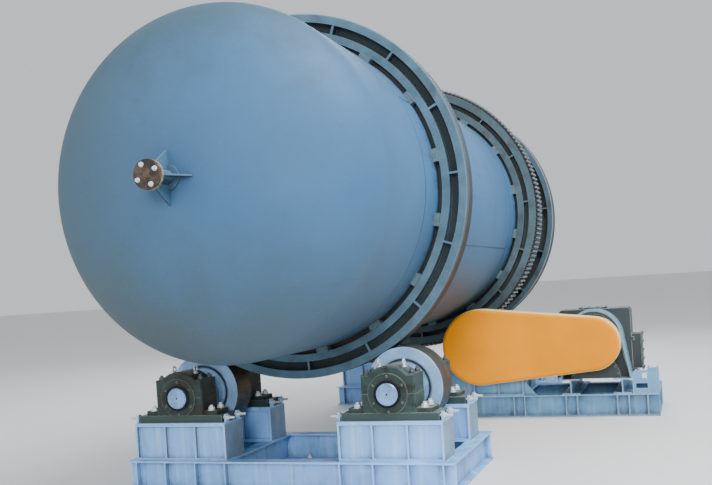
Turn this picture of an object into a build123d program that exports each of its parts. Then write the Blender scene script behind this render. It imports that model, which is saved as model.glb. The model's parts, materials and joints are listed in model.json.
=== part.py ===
from build123d import *
import math
import os

os.makedirs("parts", exist_ok=True)

# All sizes are in millimetres. +Z is up, the vessel axis runs along +Y, the drive stands on +X.
# The origin lies on the floor, under the vessel axis, below the front cross beam of the front frame.

# Stations along the axis
front_tyre_y = 551.0
tyre_spacing = 4814.0
gear_from_front_tyre = 3447.0

# Vessel shell and heads
shell_outer_r = 1260.0
shell_wall = 22.0
seam_from_tyre = 430.0
head_skirt = 868.0
head_depth = 662.0
weld_gap = 0.2

# Nozzle on each head
nozzle_outer_r = 46.0
nozzle_wall = 8.0
nozzle_reach = 226.0
nozzle_inside_reach = 6.0
collar_outer_r = 82.0
collar_thick = 14.0
collar_sink = 8.0
nozzle_flange_r = 95.0
nozzle_flange_thick = 24.0
cover_thick = 22.0
cover_chamfer = 3.0
nozzle_bolt_circle_r = 69.0
nozzle_bolt_count = 4
nozzle_bolt_phase = 26.0
nozzle_bolt_hole_r = 9.0
gusset_thick = 10.0
gusset_foot_r = 176.0
gusset_top_r = 66.0
gusset_top_gap = 22.0
gusset_foot_height = 12.0
gusset_root = 3.0

# Riding tyres, from the shell outwards: seat, inner flange, ribs and tread
tyre_seat_height = 40.0
tyre_flange_height = 60.0
tyre_rib_height = 73.0
tread_thick = 67.0
tyre_width = 190.0
tyre_web_thick = 38.0
tyre_edge_chamfer = 6.0
rib_count = 16
rib_thick = 16.0
rib_inset = 2.0
rib_root = 4.0
rib_phase = 3.0

# Seating pads between the shell and the rings
pad_angle = 4.5
pad_overhang = 34.0
packing_width = 60.0
seat_gap = 0.2

# Girth gear, from the shell outwards: seat, inner flange, ribs and rim, and its pinion
gear_seat_height = 33.0
gear_flange_height = 69.0
gear_rib_height = 55.0
gear_rim_thick = 80.0
gear_module = 16.5
pinion_teeth = 29
pressure_angle = 20.0
backlash = 1.6
gear_width = 220.0
gear_web_thick = 34.0
pinion_width = 236.0
pinion_angle = -60.0
pinion_hub_r = 165.0
pinion_hub_overhang = 5.0

# Support rollers
roller_r = 320.0
roller_width = 265.0
roller_angle = 29.63
rolling_gap = 0.3
roller_rim_inner_r = 224.0
roller_groove_depth = 42.0
roller_ring_outer_r = 205.0
roller_ring_inset = 2.5
roller_hub_r = 158.0
roller_hub_width = 300.0
roller_edge_chamfer = 6.0

# Shafts
shaft_seat_r = 112.0
shaft_collar_r = 100.0
collar_length = 60.0
journal_r = 85.0
running_clearance = 0.05
shaft_end_out = 38.0
shaft_seat_overhang = 6.0
pinion_seat_overhang = 3.0
shaft_chamfer = 5.0
centre_hole_r = 7.0
centre_hole_depth = 14.0

# Bearing housings
housing_length = 250.0
housing_half_width = 213.0
housing_centre_height = 143.0
housing_boss_top = 146.0
housing_foot_half = 335.0
housing_foot_thick = 34.0
housing_foot_length = 215.0
housing_foot_corner = 30.0
housing_body_bevel = 10.0
cover_ring_r = 158.0
cover_ring_thick = 16.0
cover_lip_r = 106.0
cover_lip_thick = 10.0
split_groove = 3.0
groove_to_cover = 0.5

# Sole plates
sole_half_width = 386.0
sole_thick = 60.0
sole_length = 255.0
sole_chamfer = 3.0

# Roller pedestals
pedestal_width = 834.0
pedestal_length = 305.0
pedestal_height = 305.0
pedestal_from_tyre = 422.5
pedestal_top_thick = 28.0
pedestal_bottom_thick = 20.0
pedestal_plate = 16.0
pedestal_recess = 30.0
stiffener_offset = 139.0
stiffener_thick = 14.0
stiffener_inset = 2.0
ear_height = 66.0
ear_length = 44.0
ear_offset = 96.0
brace_reach = 140.0
brace_rise = 165.0

# Roller frames
beam_height = 240.0
beam_flange = 120.0
beam_web = 10.0
beam_flange_thick = 14.0
web_stiffener_thick = 12.0
web_stiffener_inset = 2.0
frame_rear_from_tyre = 698.0
frame_side_margin = 75.0
inner_beam_inset = 49.0

# Drive skid
pinion_bearing_from_gear = 289.5
skid_to_rear_frame = 78.0
skid_left_margin = 21.6
skid_right_from_reducer = 642.0
cross_beam_from_pinion = 361.4
bearer_half_spacing = 270.0
bearer_height = 168.0
bearer_width = 190.0
bearer_web = 12.0
bearer_flange_thick = 14.0

# Chain guard
guard_depth = 225.0
guard_gap = 16.0
guard_big_r = 418.0
guard_small_r = 286.0
guard_edge_r = 36.0
spacer_half_spacing = 150.0
spacer_half_width = 40.0
spacer_thick = 20.0
spacer_drop = 4.0
chain_span = 1201.4
reducer_drop = 6.0

# Reducer
hood_set_back = 2.0
hood_top_r = 300.0
hood_foot_r = 374.0
hood_rise = 54.0
hood_length = 190.0
hood_recess = 120.0
hood_opening_top_r = 245.0
hood_opening_foot_r = 348.0
stage_cover_r = 260.0
stage_cover_inset = 30.0
output_shaft_r = 55.0
casing_half_width = 380.0
casing_length = 330.0
casing_top = 350.0
casing_bevel = 24.0
casing_joint_height = 12.0
casing_joint_half_thick = 18.0
casing_joint_out = 26.0
casing_foot_thick = 40.0
casing_foot_out = 50.0
side_box_set_back = 20.0
side_box_out = 95.0
side_box_length = 180.0
side_box_low = 82.0
side_box_high = 460.0
side_cover_thick = 13.0
side_cover_margin = 14.0

# Motor with its coupling and stool
motor_r = 178.0
motor_length = 400.0
motor_fin_count = 28
motor_fin_height = 16.0
motor_fin_thick = 5.0
motor_fin_front_gap = 34.0
motor_fin_rear_gap = 26.0
motor_flange_thick = 30.0
motor_cowl_length = 96.0
motor_foot_half_width = 155.0
motor_foot_inset = 60.0
motor_foot_thick = 26.0
motor_neck_half_width = 110.0
motor_drop = 60.0
motor_offset_x = 140.0
coupling_r = 92.0
coupling_waist_r = 74.0
coupling_waist = 16.0
coupling_clearance_front = 22.0
coupling_clearance_rear = 12.0
coupling_length = 150.0
coupling_shaft_r = 30.0
stool_height = 60.0
stool_margin = 20.0

# End stand on the right end of the skid
stand_width = 266.0
stand_length = 185.0
stand_plate = 16.0
stand_height = 277.0
stand_step_x = 154.0
stand_step_height = 250.0
stand_corner_cut = 30.0
stand_slot_x = 34.0
stand_slot_width = 118.0
stand_slot_low = 57.0
stand_slot_high = 113.0
stand_notch_x = 100.0
stand_notch_width = 48.0
stand_notch_low = 163.0
stand_notch_high = 217.0

# Values that follow from the sizes above
rear_tyre_y = front_tyre_y + tyre_spacing
gear_y = front_tyre_y + gear_from_front_tyre
front_seam_y = front_tyre_y - seam_from_tyre
rear_seam_y = rear_tyre_y + seam_from_tyre
tyre_bore_r = shell_outer_r + tyre_seat_height
tyre_inner_flange_outer_r = tyre_bore_r + tyre_flange_height
tyre_rim_inner_r = tyre_inner_flange_outer_r + tyre_rib_height
tyre_outer_r = tyre_rim_inner_r + tread_thick
gear_bore_r = shell_outer_r + gear_seat_height
gear_inner_flange_outer_r = gear_bore_r + gear_flange_height
gear_rim_inner_r = gear_inner_flange_outer_r + gear_rib_height
gear_teeth = round(2 * (gear_rim_inner_r + gear_rim_thick + 1.25 * gear_module) / gear_module)
roller_centre_r = tyre_outer_r + roller_r + rolling_gap
roller_half_spacing = roller_centre_r * math.sin(math.radians(roller_angle))
roller_drop = roller_centre_r * math.cos(math.radians(roller_angle))
roller_pedestal_top = beam_height + pedestal_height
roller_z = roller_pedestal_top + sole_thick + housing_centre_height
axis_height = roller_z + roller_drop
gear_pitch_r = gear_module * gear_teeth / 2
pinion_pitch_r = gear_module * pinion_teeth / 2
mesh_distance = gear_pitch_r + pinion_pitch_r
pinion_x = mesh_distance * math.cos(math.radians(pinion_angle))
pinion_z = axis_height + mesh_distance * math.sin(math.radians(pinion_angle))
pinion_pedestal_top = pinion_z - housing_centre_height - sole_thick
frame_half_width = roller_half_spacing + pedestal_width / 2 + frame_side_margin
inner_beam_x = roller_half_spacing - pedestal_width / 2 + inner_beam_inset
reducer_x = pinion_x + chain_span
reducer_z = pinion_z - reducer_drop
bearer_xs = (reducer_x - bearer_half_spacing, reducer_x + bearer_half_spacing)
skid_left_x = pinion_x - pedestal_width / 2 - skid_left_margin
skid_right_x = reducer_x + skid_right_from_reducer
skid_front_y = gear_y - pinion_bearing_from_gear - pedestal_length / 2
skid_rear_y = rear_tyre_y - front_tyre_y - beam_flange / 2 - skid_to_rear_frame


def save(shape, name):
    export_step(shape, "parts/" + name + ".step")


def axis_cylinder(r, y0, y1, x=0.0, z=0.0):
    body = Cylinder(r, y1 - y0, align=(Align.CENTER, Align.CENTER, Align.MIN))
    return Pos(x, y0, z) * Rot(-90, 0, 0) * body


def block(x0, x1, y0, y1, z0, z1):
    body = Box(x1 - x0, y1 - y0, z1 - z0)
    return Pos((x0 + x1) / 2, (y0 + y1) / 2, (z0 + z1) / 2) * body


def band(r0, r1, y0, y1):
    return Pos((r0 + r1) / 2, (y0 + y1) / 2) * Rectangle(r1 - r0, y1 - y0)


def fuse(shapes):
    total = shapes[0]
    for one in shapes[1:]:
        total = total + one
    return total


def ring_of(shape, count, phase=0.0):
    return [Rot(0, -(phase + k * 360.0 / count), 0) * shape for k in range(count)]


# Vessel pieces are built with the axis through the origin and then lifted to the axis height.
def dished_head():
    tangent = -head_skirt
    outer = Pos(0, tangent) * Ellipse(shell_outer_r, head_depth)
    inner = Pos(0, tangent) * Ellipse(shell_outer_r - shell_wall, head_depth - shell_wall)
    quarter = Pos(shell_outer_r / 2, tangent - head_depth / 2) * Rectangle(shell_outer_r, head_depth)
    dish = (outer - inner) & quarter
    skirt = band(shell_outer_r - shell_wall, shell_outer_r, tangent, 0)
    head = revolve(dish + skirt, Axis.Y)
    bore = axis_cylinder(nozzle_outer_r + weld_gap, -head_skirt - head_depth - 50, -head_skirt)
    return head - bore


def dish_y(r):
    return -head_skirt - head_depth * math.sqrt(1 - (r / shell_outer_r) ** 2)


def nozzle():
    tip = -head_skirt - head_depth
    root = tip + shell_wall + nozzle_inside_reach
    face = tip - nozzle_reach
    inside_r = nozzle_outer_r - nozzle_wall
    pipe = axis_cylinder(nozzle_outer_r, face, root)
    flange = axis_cylinder(nozzle_flange_r, face, face + nozzle_flange_thick)
    seat_y = dish_y(collar_outer_r) + collar_sink
    collar = axis_cylinder(collar_outer_r, tip - collar_thick, seat_y)
    body = pipe + flange + collar
    gusset_top_y = face + nozzle_flange_thick + gusset_top_gap
    corners = [
        (nozzle_outer_r - gusset_root, gusset_top_y),
        (gusset_top_r, gusset_top_y),
        (gusset_foot_r, dish_y(gusset_foot_r) - gusset_foot_height),
        (gusset_foot_r, dish_y(gusset_foot_r) - weld_gap),
        (collar_outer_r, dish_y(collar_outer_r) - weld_gap),
        (nozzle_outer_r - gusset_root, dish_y(nozzle_outer_r) - weld_gap),
    ]
    plate = make_face(Polyline(*corners, close=True))
    gusset = Pos(0, 0, -gusset_thick / 2) * extrude(plate, gusset_thick)
    for one in ring_of(gusset, 4):
        body = body + one
    inner_dome = revolve(
        (Pos(0, -head_skirt) * Ellipse(shell_outer_r + weld_gap, head_depth + weld_gap))
        & (Pos(gusset_foot_r / 2 + 5, tip) * Rectangle(gusset_foot_r + 10, 2 * head_depth)),
        Axis.Y,
    )
    inner_dome = inner_dome - axis_cylinder(nozzle_outer_r, face, 0)
    body = body - inner_dome
    body = body - axis_cylinder(inside_r, face - 5, root + 5)
    hole = axis_cylinder(nozzle_bolt_hole_r, face - 5, face + nozzle_flange_thick + 5, nozzle_bolt_circle_r)
    for one in ring_of(hole, nozzle_bolt_count, nozzle_bolt_phase):
        body = body - one
    return body


def nozzle_cover():
    face = -head_skirt - head_depth - nozzle_reach
    disc = axis_cylinder(nozzle_flange_r, face - cover_thick, face)
    disc = chamfer(disc.faces().sort_by(Axis.Y)[0].edges(), cover_chamfer)
    hole = axis_cylinder(nozzle_bolt_hole_r, face - cover_thick - 5, face + 5, nozzle_bolt_circle_r)
    for one in ring_of(hole, nozzle_bolt_count, nozzle_bolt_phase):
        disc = disc - one
    return disc


def placed_front(shape):
    return Pos(0, front_seam_y, axis_height) * shape


def placed_rear(shape):
    return Pos(0, rear_seam_y, axis_height) * mirror(shape, Plane.XZ)


shell = revolve(
    band(shell_outer_r - shell_wall, shell_outer_r, front_seam_y + weld_gap, rear_seam_y - weld_gap), Axis.Y
)
save(Pos(0, 0, axis_height) * shell, "shell")
head_shape = dished_head()
nozzle_shape = nozzle()
cover_shape = nozzle_cover()
save(placed_front(head_shape), "front_head")
save(placed_rear(head_shape), "rear_head")
save(placed_front(nozzle_shape), "front_nozzle")
save(placed_rear(nozzle_shape), "rear_nozzle")
save(placed_front(cover_shape), "front_nozzle_cover")
save(placed_rear(cover_shape), "rear_nozzle_cover")


def rib(r0, r1, half_width):
    reach = half_width - rib_inset
    return block(r0 - rib_root, r1 + rib_root, -reach, reach, -rib_thick / 2, rib_thick / 2)


# A riding tyre is a welded ring of I section with radial ribs on both sides of its web.
def tyre():
    half = tyre_width / 2
    tread = chamfer(
        band(tyre_rim_inner_r, tyre_outer_r, -half, half).vertices().sort_by(Axis.X)[-2:], tyre_edge_chamfer
    )
    web_r0 = tyre_inner_flange_outer_r - 1
    section = tread + band(web_r0, tyre_rim_inner_r + 1, -tyre_web_thick / 2, tyre_web_thick / 2)
    section = section + band(tyre_bore_r, tyre_inner_flange_outer_r, -half, half)
    ring = revolve(section, Axis.Y)
    return fuse([ring] + ring_of(rib(tyre_inner_flange_outer_r, tyre_rim_inner_r, half), rib_count, rib_phase))


# Pads seat a ring on the shell. A narrow packing band joins them under the middle of the ring.
def pads(bore_r, length):
    inside_r = shell_outer_r + seat_gap
    outside_r = bore_r - seat_gap
    one = revolve(band(inside_r, outside_r, -length / 2, length / 2), Axis.Y, revolution_arc=pad_angle)
    packing = revolve(
        band(inside_r + seat_gap, outside_r - seat_gap, -packing_width / 2, packing_width / 2), Axis.Y
    )
    half_pitch = 180.0 / rib_count
    return fuse([packing] + ring_of(one, rib_count, rib_phase + half_pitch - pad_angle / 2))


tyre_shape = tyre()
tyre_pads = pads(tyre_bore_r, tyre_width + 2 * pad_overhang)
save(Pos(0, front_tyre_y, axis_height) * tyre_shape, "front_tyre")
save(Pos(0, rear_tyre_y, axis_height) * tyre_shape, "rear_tyre")
save(Pos(0, front_tyre_y, axis_height) * tyre_pads, "front_tyre_pads")
save(Pos(0, rear_tyre_y, axis_height) * tyre_pads, "rear_tyre_pads")


# Spur teeth follow the involute of the base circle, thinned by the backlash.
def involute(angle):
    return math.tan(angle) - angle


def half_tooth_angle(r, teeth):
    pitch_r = gear_module * teeth / 2
    base_r = pitch_r * math.cos(math.radians(pressure_angle))
    at_pitch = math.pi / (2 * teeth) - backlash / (4 * pitch_r)
    slope = 0.0 if r <= base_r else math.acos(base_r / r)
    return at_pitch + involute(math.radians(pressure_angle)) - involute(slope)


def toothed_face(teeth, phase, flank_steps):
    pitch_r = gear_module * teeth / 2
    root_r = pitch_r - 1.25 * gear_module
    tip_r = pitch_r + gear_module
    radii = [root_r + (tip_r - root_r) * k / flank_steps for k in range(flank_steps + 1)]
    points = []
    for k in range(teeth):
        centre = math.radians(phase) + 2 * math.pi * k / teeth
        for r in radii:
            a = centre - half_tooth_angle(r, teeth)
            points.append((r * math.cos(a), 0, r * math.sin(a)))
        for r in reversed(radii):
            a = centre + half_tooth_angle(r, teeth)
            points.append((r * math.cos(a), 0, r * math.sin(a)))
    return make_face(Polyline(*points, close=True))


def toothed_disc(teeth, phase, width, flank_steps):
    return Pos(0, -width / 2, 0) * extrude(toothed_face(teeth, phase, flank_steps), width, dir=(0, 1, 0))


def girth_gear():
    half = gear_width / 2
    rim = toothed_disc(gear_teeth, pinion_angle, gear_width, 1)
    rim = rim - axis_cylinder(gear_rim_inner_r, -half - 5, half + 5)
    web_r0 = gear_inner_flange_outer_r - 1
    section = band(web_r0, gear_rim_inner_r + 2, -gear_web_thick / 2, gear_web_thick / 2)
    section = section + band(gear_bore_r, gear_inner_flange_outer_r, -half, half)
    inner = revolve(section, Axis.Y)
    one = rib(gear_inner_flange_outer_r, gear_rim_inner_r, half)
    return fuse([rim, inner] + ring_of(one, rib_count, rib_phase))


save(Pos(0, gear_y, axis_height) * girth_gear(), "girth_gear")
save(Pos(0, gear_y, axis_height) * pads(gear_bore_r, gear_width + 2 * pad_overhang), "gear_pads")


# Support rollers, their shafts and bearings, drawn about the shaft axis and centred on the tyre plane.
def roller():
    half = roller_width / 2
    rim = chamfer(
        band(roller_rim_inner_r, roller_r, -half, half).vertices().sort_by(Axis.X)[-2:], roller_edge_chamfer
    )
    bore = shaft_seat_r + seat_gap
    web_half = half - roller_groove_depth
    ring_half = half - roller_ring_inset
    section = rim + band(bore, roller_rim_inner_r + 1, -web_half, web_half)
    section = section + band(bore, roller_ring_outer_r, -ring_half, ring_half)
    section = section + band(bore, roller_hub_r, -roller_hub_width / 2, roller_hub_width / 2)
    return revolve(section, Axis.Y)


def stepped_shaft(seat_half, collar_length, end_half):
    body = axis_cylinder(journal_r, -end_half, end_half)
    ends = body.edges().filter_by(GeomType.CIRCLE)
    body = chamfer(ends, shaft_chamfer)
    body = body + axis_cylinder(shaft_seat_r, -seat_half, seat_half)
    if collar_length > 0:
        reach = seat_half + collar_length
        body = body + axis_cylinder(shaft_collar_r, -reach, reach)
    dimple = Cone(0.1, centre_hole_r, centre_hole_depth)
    front = Pos(0, -end_half + centre_hole_depth / 2 - 0.01, 0) * Rot(90, 0, 0) * dimple
    rear = Pos(0, end_half - centre_hole_depth / 2 + 0.01, 0) * Rot(-90, 0, 0) * dimple
    return body - front - rear


def housing():
    half = housing_length / 2
    foot_z = -housing_centre_height
    foot_top = foot_z + housing_foot_thick
    shoulder_x = math.sqrt(housing_half_width ** 2 - housing_boss_top ** 2)
    outline = Polyline(
        (-shoulder_x, 0, housing_boss_top),
        (-housing_half_width, 0, housing_boss_top),
        (-housing_half_width, 0, foot_z),
        (housing_half_width, 0, foot_z),
        (housing_half_width, 0, housing_boss_top),
        (shoulder_x, 0, housing_boss_top),
    )
    crown = ThreePointArc(
        (shoulder_x, 0, housing_boss_top), (0, 0, housing_half_width), (-shoulder_x, 0, housing_boss_top)
    )
    body = Pos(0, -half, 0) * extrude(make_face(outline + crown), housing_length, dir=(0, 1, 0))
    front_edges = body.faces().sort_by(Axis.Y)[0].edges()
    rear_edges = body.faces().sort_by(Axis.Y)[-1].edges()
    lifted = [e for e in list(front_edges) + list(rear_edges) if e.center().Z > foot_z + 1]
    body = chamfer(lifted, housing_body_bevel)
    foot_reach = housing_foot_length / 2
    foot = block(-housing_foot_half, housing_foot_half, -foot_reach, foot_reach, foot_z, foot_top)
    foot = fillet(foot.edges().filter_by(Axis.Z), housing_foot_corner)
    body = body + foot
    for side in (-1, 1):
        cover = axis_cylinder(cover_ring_r, 0, cover_ring_thick)
        cover = cover + axis_cylinder(cover_lip_r, 0, cover_ring_thick + cover_lip_thick)
        spun = Pos(0, half - 1, 0) * cover if side > 0 else Rot(0, 0, 180) * Pos(0, half - 1, 0) * cover
        body = body + spun
    below = block(-cover_ring_r, cover_ring_r, -housing_length, housing_length, foot_z - cover_ring_r, foot_z)
    body = body - below
    wide = housing_foot_half
    slot = block(-wide, wide, -housing_length, housing_length, -split_groove / 2, split_groove / 2)
    core = block(
        -housing_half_width + split_groove + housing_body_bevel,
        housing_half_width - split_groove - housing_body_bevel,
        -half + split_groove,
        half - split_groove,
        -split_groove,
        split_groove,
    )
    rings = axis_cylinder(cover_ring_r + groove_to_cover, -housing_length, housing_length)
    body = body - (slot - core - rings)
    return body - axis_cylinder(journal_r + running_clearance, -housing_length, housing_length)


def sole_plate():
    plate = Box(2 * sole_half_width, sole_length, sole_thick, align=(Align.CENTER, Align.CENTER, Align.MAX))
    return chamfer(plate.faces().sort_by(Axis.Z)[-1].edges(), sole_chamfer)


# A pedestal is a welded box whose front and back webs lie behind the plate edges, with two stiffeners each.
def pedestal(height):
    half_w = pedestal_width / 2
    half_l = pedestal_length / 2
    top0 = -pedestal_top_thick
    low1 = -height + pedestal_bottom_thick
    body = block(-half_w, half_w, -half_l, half_l, top0, 0)
    body = body + block(-half_w, half_w, -half_l, half_l, -height, low1)
    for side in (-1, 1):
        x_out = side * half_w
        x_in = side * (half_w - pedestal_plate)
        body = body + block(min(x_out, x_in), max(x_out, x_in), -half_l, half_l, low1, top0)
        web_out = side * (half_l - pedestal_recess)
        web_in = side * (half_l - pedestal_recess - pedestal_plate)
        web_y = sorted((web_out, web_in))
        body = body + block(-half_w + 1, half_w - 1, web_y[0], web_y[1], low1 - 1, top0 + 1)
        for x in (-stiffener_offset, stiffener_offset):
            rib_y = sorted((side * (half_l - stiffener_inset), side * (half_l - pedestal_recess - 1)))
            rib_x = x - stiffener_thick / 2
            body = body + block(rib_x, rib_x + stiffener_thick, rib_y[0], rib_y[1], low1 - 1, top0 + 1)
        ear_x = sorted((x_out, x_in))
        for y in (-ear_offset, ear_offset):
            body = body + block(ear_x[0], ear_x[1], y - ear_length / 2, y + ear_length / 2, -1, ear_height)
    return body


# Triangular brace plate at the foot of a pedestal's right side.
def side_brace(height):
    half_w = pedestal_width / 2
    corners = [(half_w - 1, -height), (half_w + brace_reach, -height), (half_w - 1, brace_rise - height)]
    plate = extrude(Plane.XZ * make_face(Polyline(*corners, close=True)), pedestal_plate)
    return Pos(0, pedestal_recess - pedestal_length / 2 + pedestal_plate, 0) * plate


roller_shape = roller()
roller_end = pedestal_from_tyre + housing_length / 2 + shaft_end_out
roller_shaft = stepped_shaft(roller_hub_width / 2 + shaft_seat_overhang, collar_length, roller_end)
housing_shape = housing()
sole_shape = sole_plate()
roller_pedestal = pedestal(pedestal_height)
stations = (("front", front_tyre_y), ("rear", rear_tyre_y))
for station, y in stations:
    soles = []
    for side, sign in (("left", -1), ("right", 1)):
        x = sign * roller_half_spacing
        save(Pos(x, y, roller_z) * roller_shape, station + "_" + side + "_roller")
        save(Pos(x, y, roller_z) * roller_shaft, station + "_" + side + "_shaft")
        near = Pos(x, y - pedestal_from_tyre, 0)
        far = Pos(x, y + pedestal_from_tyre, 0)
        save(near * Pos(0, 0, roller_z) * housing_shape, station + "_" + side + "_bearing_near")
        save(far * Pos(0, 0, roller_z) * housing_shape, station + "_" + side + "_bearing_far")
        stand = Pos(0, 0, roller_pedestal_top)
        pair = Compound([near * stand * roller_pedestal, far * stand * roller_pedestal])
        save(pair, station + "_" + side + "_pedestals")
        lift = Pos(0, 0, roller_pedestal_top + sole_thick)
        soles = soles + [near * lift * sole_shape, far * lift * sole_shape]
    save(Compound(soles), station + "_sole_plates")


# Frames of I beams on the floor.
def beam_x(x0, x1, y, height, flange, web, thick, z0):
    low = block(x0, x1, y - flange / 2, y + flange / 2, z0, z0 + thick)
    high = block(x0, x1, y - flange / 2, y + flange / 2, z0 + height - thick, z0 + height)
    return low + high + block(x0, x1, y - web / 2, y + web / 2, z0 + thick, z0 + height - thick)


def beam_y(x, y0, y1, height, flange, web, thick, z0):
    low = block(x - flange / 2, x + flange / 2, y0, y1, z0, z0 + thick)
    high = block(x - flange / 2, x + flange / 2, y0, y1, z0 + height - thick, z0 + height)
    return low + high + block(x - web / 2, x + web / 2, y0, y1, z0 + thick, z0 + height - thick)


def floor_beam_x(x0, x1, y):
    return beam_x(x0, x1, y, beam_height, beam_flange, beam_web, beam_flange_thick, 0)


def floor_beam_y(x, y0, y1):
    return beam_y(x, y0, y1, beam_height, beam_flange, beam_web, beam_flange_thick, 0)


# Plates that stiffen the outer side of a beam that runs along X.
def web_stiffeners(xs, y, side):
    reach = sorted((y + side * (beam_web / 2 - 1), y + side * (beam_flange / 2 - web_stiffener_inset)))
    low = beam_flange_thick - 1
    high = beam_height - beam_flange_thick + 1
    half = web_stiffener_thick / 2
    return fuse([block(x - half, x + half, reach[0], reach[1], low, high) for x in xs])


def roller_frame(y_tyre):
    y_front = y_tyre - front_tyre_y
    y_rear = y_tyre + frame_rear_from_tyre
    outer_x = frame_half_width - beam_flange / 2
    body = floor_beam_x(-frame_half_width, frame_half_width, y_front)
    body = body + floor_beam_x(-frame_half_width, frame_half_width, y_rear)
    for x in (-outer_x, -inner_beam_x, inner_beam_x, outer_x):
        body = body + floor_beam_y(x, y_front, y_rear)
    plate_x = pedestal_width / 2 - pedestal_plate / 2
    centres = (-roller_half_spacing, roller_half_spacing)
    xs = [x + dx for x in centres for dx in (-plate_x, -stiffener_offset, stiffener_offset, plate_x)]
    return body + web_stiffeners(xs, y_front, -1) + web_stiffeners(xs, y_rear, 1)


save(roller_frame(front_tyre_y), "front_frame")
save(roller_frame(rear_tyre_y), "rear_frame")

# Drive skid with two bearers for the reducer and motor.
half_flange = beam_flange / 2
skid_end_xs = (skid_left_x + half_flange, skid_right_x - half_flange)
skid_mid_xs = (pinion_x + cross_beam_from_pinion,) + bearer_xs
skid = floor_beam_x(skid_left_x, skid_right_x, skid_front_y + half_flange)
skid = skid + floor_beam_x(skid_left_x, skid_right_x, skid_rear_y - half_flange)
for x in skid_end_xs + skid_mid_xs:
    skid = skid + floor_beam_y(x, skid_front_y + half_flange, skid_rear_y - half_flange)
plate_xs = [x + dx for x in skid_mid_xs for dx in (-half_flange, half_flange)] + [skid_end_xs[1] - half_flange]
skid = skid + web_stiffeners(plate_xs, skid_front_y + half_flange, -1)
skid = skid + web_stiffeners(plate_xs, skid_rear_y - half_flange, 1)
save(skid, "drive_skid")
bearers = []
for x in bearer_xs:
    bearer = beam_y(
        x, skid_front_y, skid_rear_y, bearer_height, bearer_width, bearer_web, bearer_flange_thick, beam_height
    )
    bearers.append(bearer)
save(Compound(bearers), "reducer_bearers")

# Pinion with its shaft, bearings, sole plates and pedestals.
pinion_front_y = skid_front_y + pedestal_length / 2
pinion_rear_y = 2 * gear_y - pinion_front_y
pinion_reach = gear_y - pinion_front_y + housing_length / 2
pinion_phase = pinion_angle + 180 + 180.0 / pinion_teeth
pinion = toothed_disc(pinion_teeth, pinion_phase, pinion_width, 3)
hub_half = pinion_width / 2 + pinion_hub_overhang
pinion = pinion + axis_cylinder(pinion_hub_r, -hub_half, hub_half)
pinion = pinion - axis_cylinder(shaft_seat_r + seat_gap, -pinion_width, pinion_width)
pinion_at = Pos(pinion_x, gear_y, pinion_z)
save(pinion_at * pinion, "pinion")
pinion_shaft = stepped_shaft(hub_half + pinion_seat_overhang, 0, pinion_reach + shaft_end_out)
save(pinion_at * pinion_shaft, "pinion_shaft")
pinion_pedestal = pedestal(pinion_pedestal_top - beam_height)
brace = side_brace(pinion_pedestal_top - beam_height)
pinion_soles = []
pinion_pedestals = []
for name, y in (("near", pinion_front_y), ("far", pinion_rear_y)):
    save(Pos(pinion_x, y, pinion_z) * housing_shape, "pinion_bearing_" + name)
    pinion_soles.append(Pos(pinion_x, y, pinion_pedestal_top + sole_thick) * sole_shape)
    stand = Pos(pinion_x, y, pinion_pedestal_top)
    pinion_pedestals.append(stand * (pinion_pedestal + brace if name == "near" else pinion_pedestal))
save(Compound(pinion_soles), "pinion_sole_plates")
save(Compound(pinion_pedestals), "pinion_pedestals")

# Outline round two circles in an upright plane, with the straight tangents between them.
def tapered_outline(x0, z0, r0, x1, z1, r1):
    span = math.hypot(x1 - x0, z1 - z0)
    tilt = math.atan2(z1 - z0, x1 - x0)
    swing = math.acos((r0 - r1) / span)
    points = []
    for a in (tilt + swing, tilt - swing):
        points.append((x0 + r0 * math.cos(a), z0 + r0 * math.sin(a)))
        points.append((x1 + r1 * math.cos(a), z1 + r1 * math.sin(a)))
    far0 = (x0 - r0 * math.cos(tilt), z0 - r0 * math.sin(tilt))
    far1 = (x1 + r1 * math.cos(tilt), z1 + r1 * math.sin(tilt))
    lines = Line(points[0], points[1]) + ThreePointArc(points[1], far1, points[3])
    lines = lines + Line(points[3], points[2]) + ThreePointArc(points[2], far0, points[0])
    return make_face(lines)


def upright_block(outline, y0, y1):
    return Pos(0, y1, 0) * Rot(90, 0, 0) * extrude(outline, y1 - y0)


# Reducer: an open arched hood with a round stage cover in it, in front of a square casing.
reducer_base = beam_height + bearer_height
hood_y = skid_front_y + hood_set_back
hood_back_y = hood_y + hood_recess
casing_y = hood_y + hood_length
casing_rear_y = casing_y + casing_length
hood_z = reducer_z + hood_rise


def hood_outline(top_r, foot_r):
    return tapered_outline(reducer_x, reducer_base, foot_r, reducer_x, hood_z, top_r)


hood = upright_block(hood_outline(hood_top_r, hood_foot_r), hood_y, casing_y + 1)
hood = hood - upright_block(hood_outline(hood_opening_top_r, hood_opening_foot_r), hood_y - 5, hood_back_y)
cover_y = hood_y + stage_cover_inset
hood = hood + axis_cylinder(stage_cover_r, cover_y, hood_back_y + 1, reducer_x, reducer_base)
hood_x0 = reducer_x - hood_foot_r - 5
hood_x1 = reducer_x + hood_foot_r + 5
hood_top_z = hood_z + hood_top_r + 5
hood = hood & block(hood_x0, hood_x1, hood_y, casing_y + 1, reducer_base, hood_top_z)
hood = hood + axis_cylinder(output_shaft_r, skid_front_y - guard_gap, hood_back_y + 1, reducer_x, reducer_z)
casing = block(
    reducer_x - casing_half_width,
    reducer_x + casing_half_width,
    casing_y,
    casing_rear_y,
    reducer_base,
    reducer_z + casing_top,
)
casing = chamfer(casing.edges().filter_by(Axis.Y).sort_by(Axis.Z)[-2:], casing_bevel)
joint_z = reducer_z + casing_joint_height
joint_half = casing_half_width + casing_joint_out
joint = block(
    reducer_x - joint_half,
    reducer_x + joint_half,
    casing_y,
    casing_rear_y + casing_joint_out / 3,
    joint_z - casing_joint_half_thick,
    joint_z + casing_joint_half_thick,
)
foot_half = casing_half_width + casing_foot_out
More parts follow.
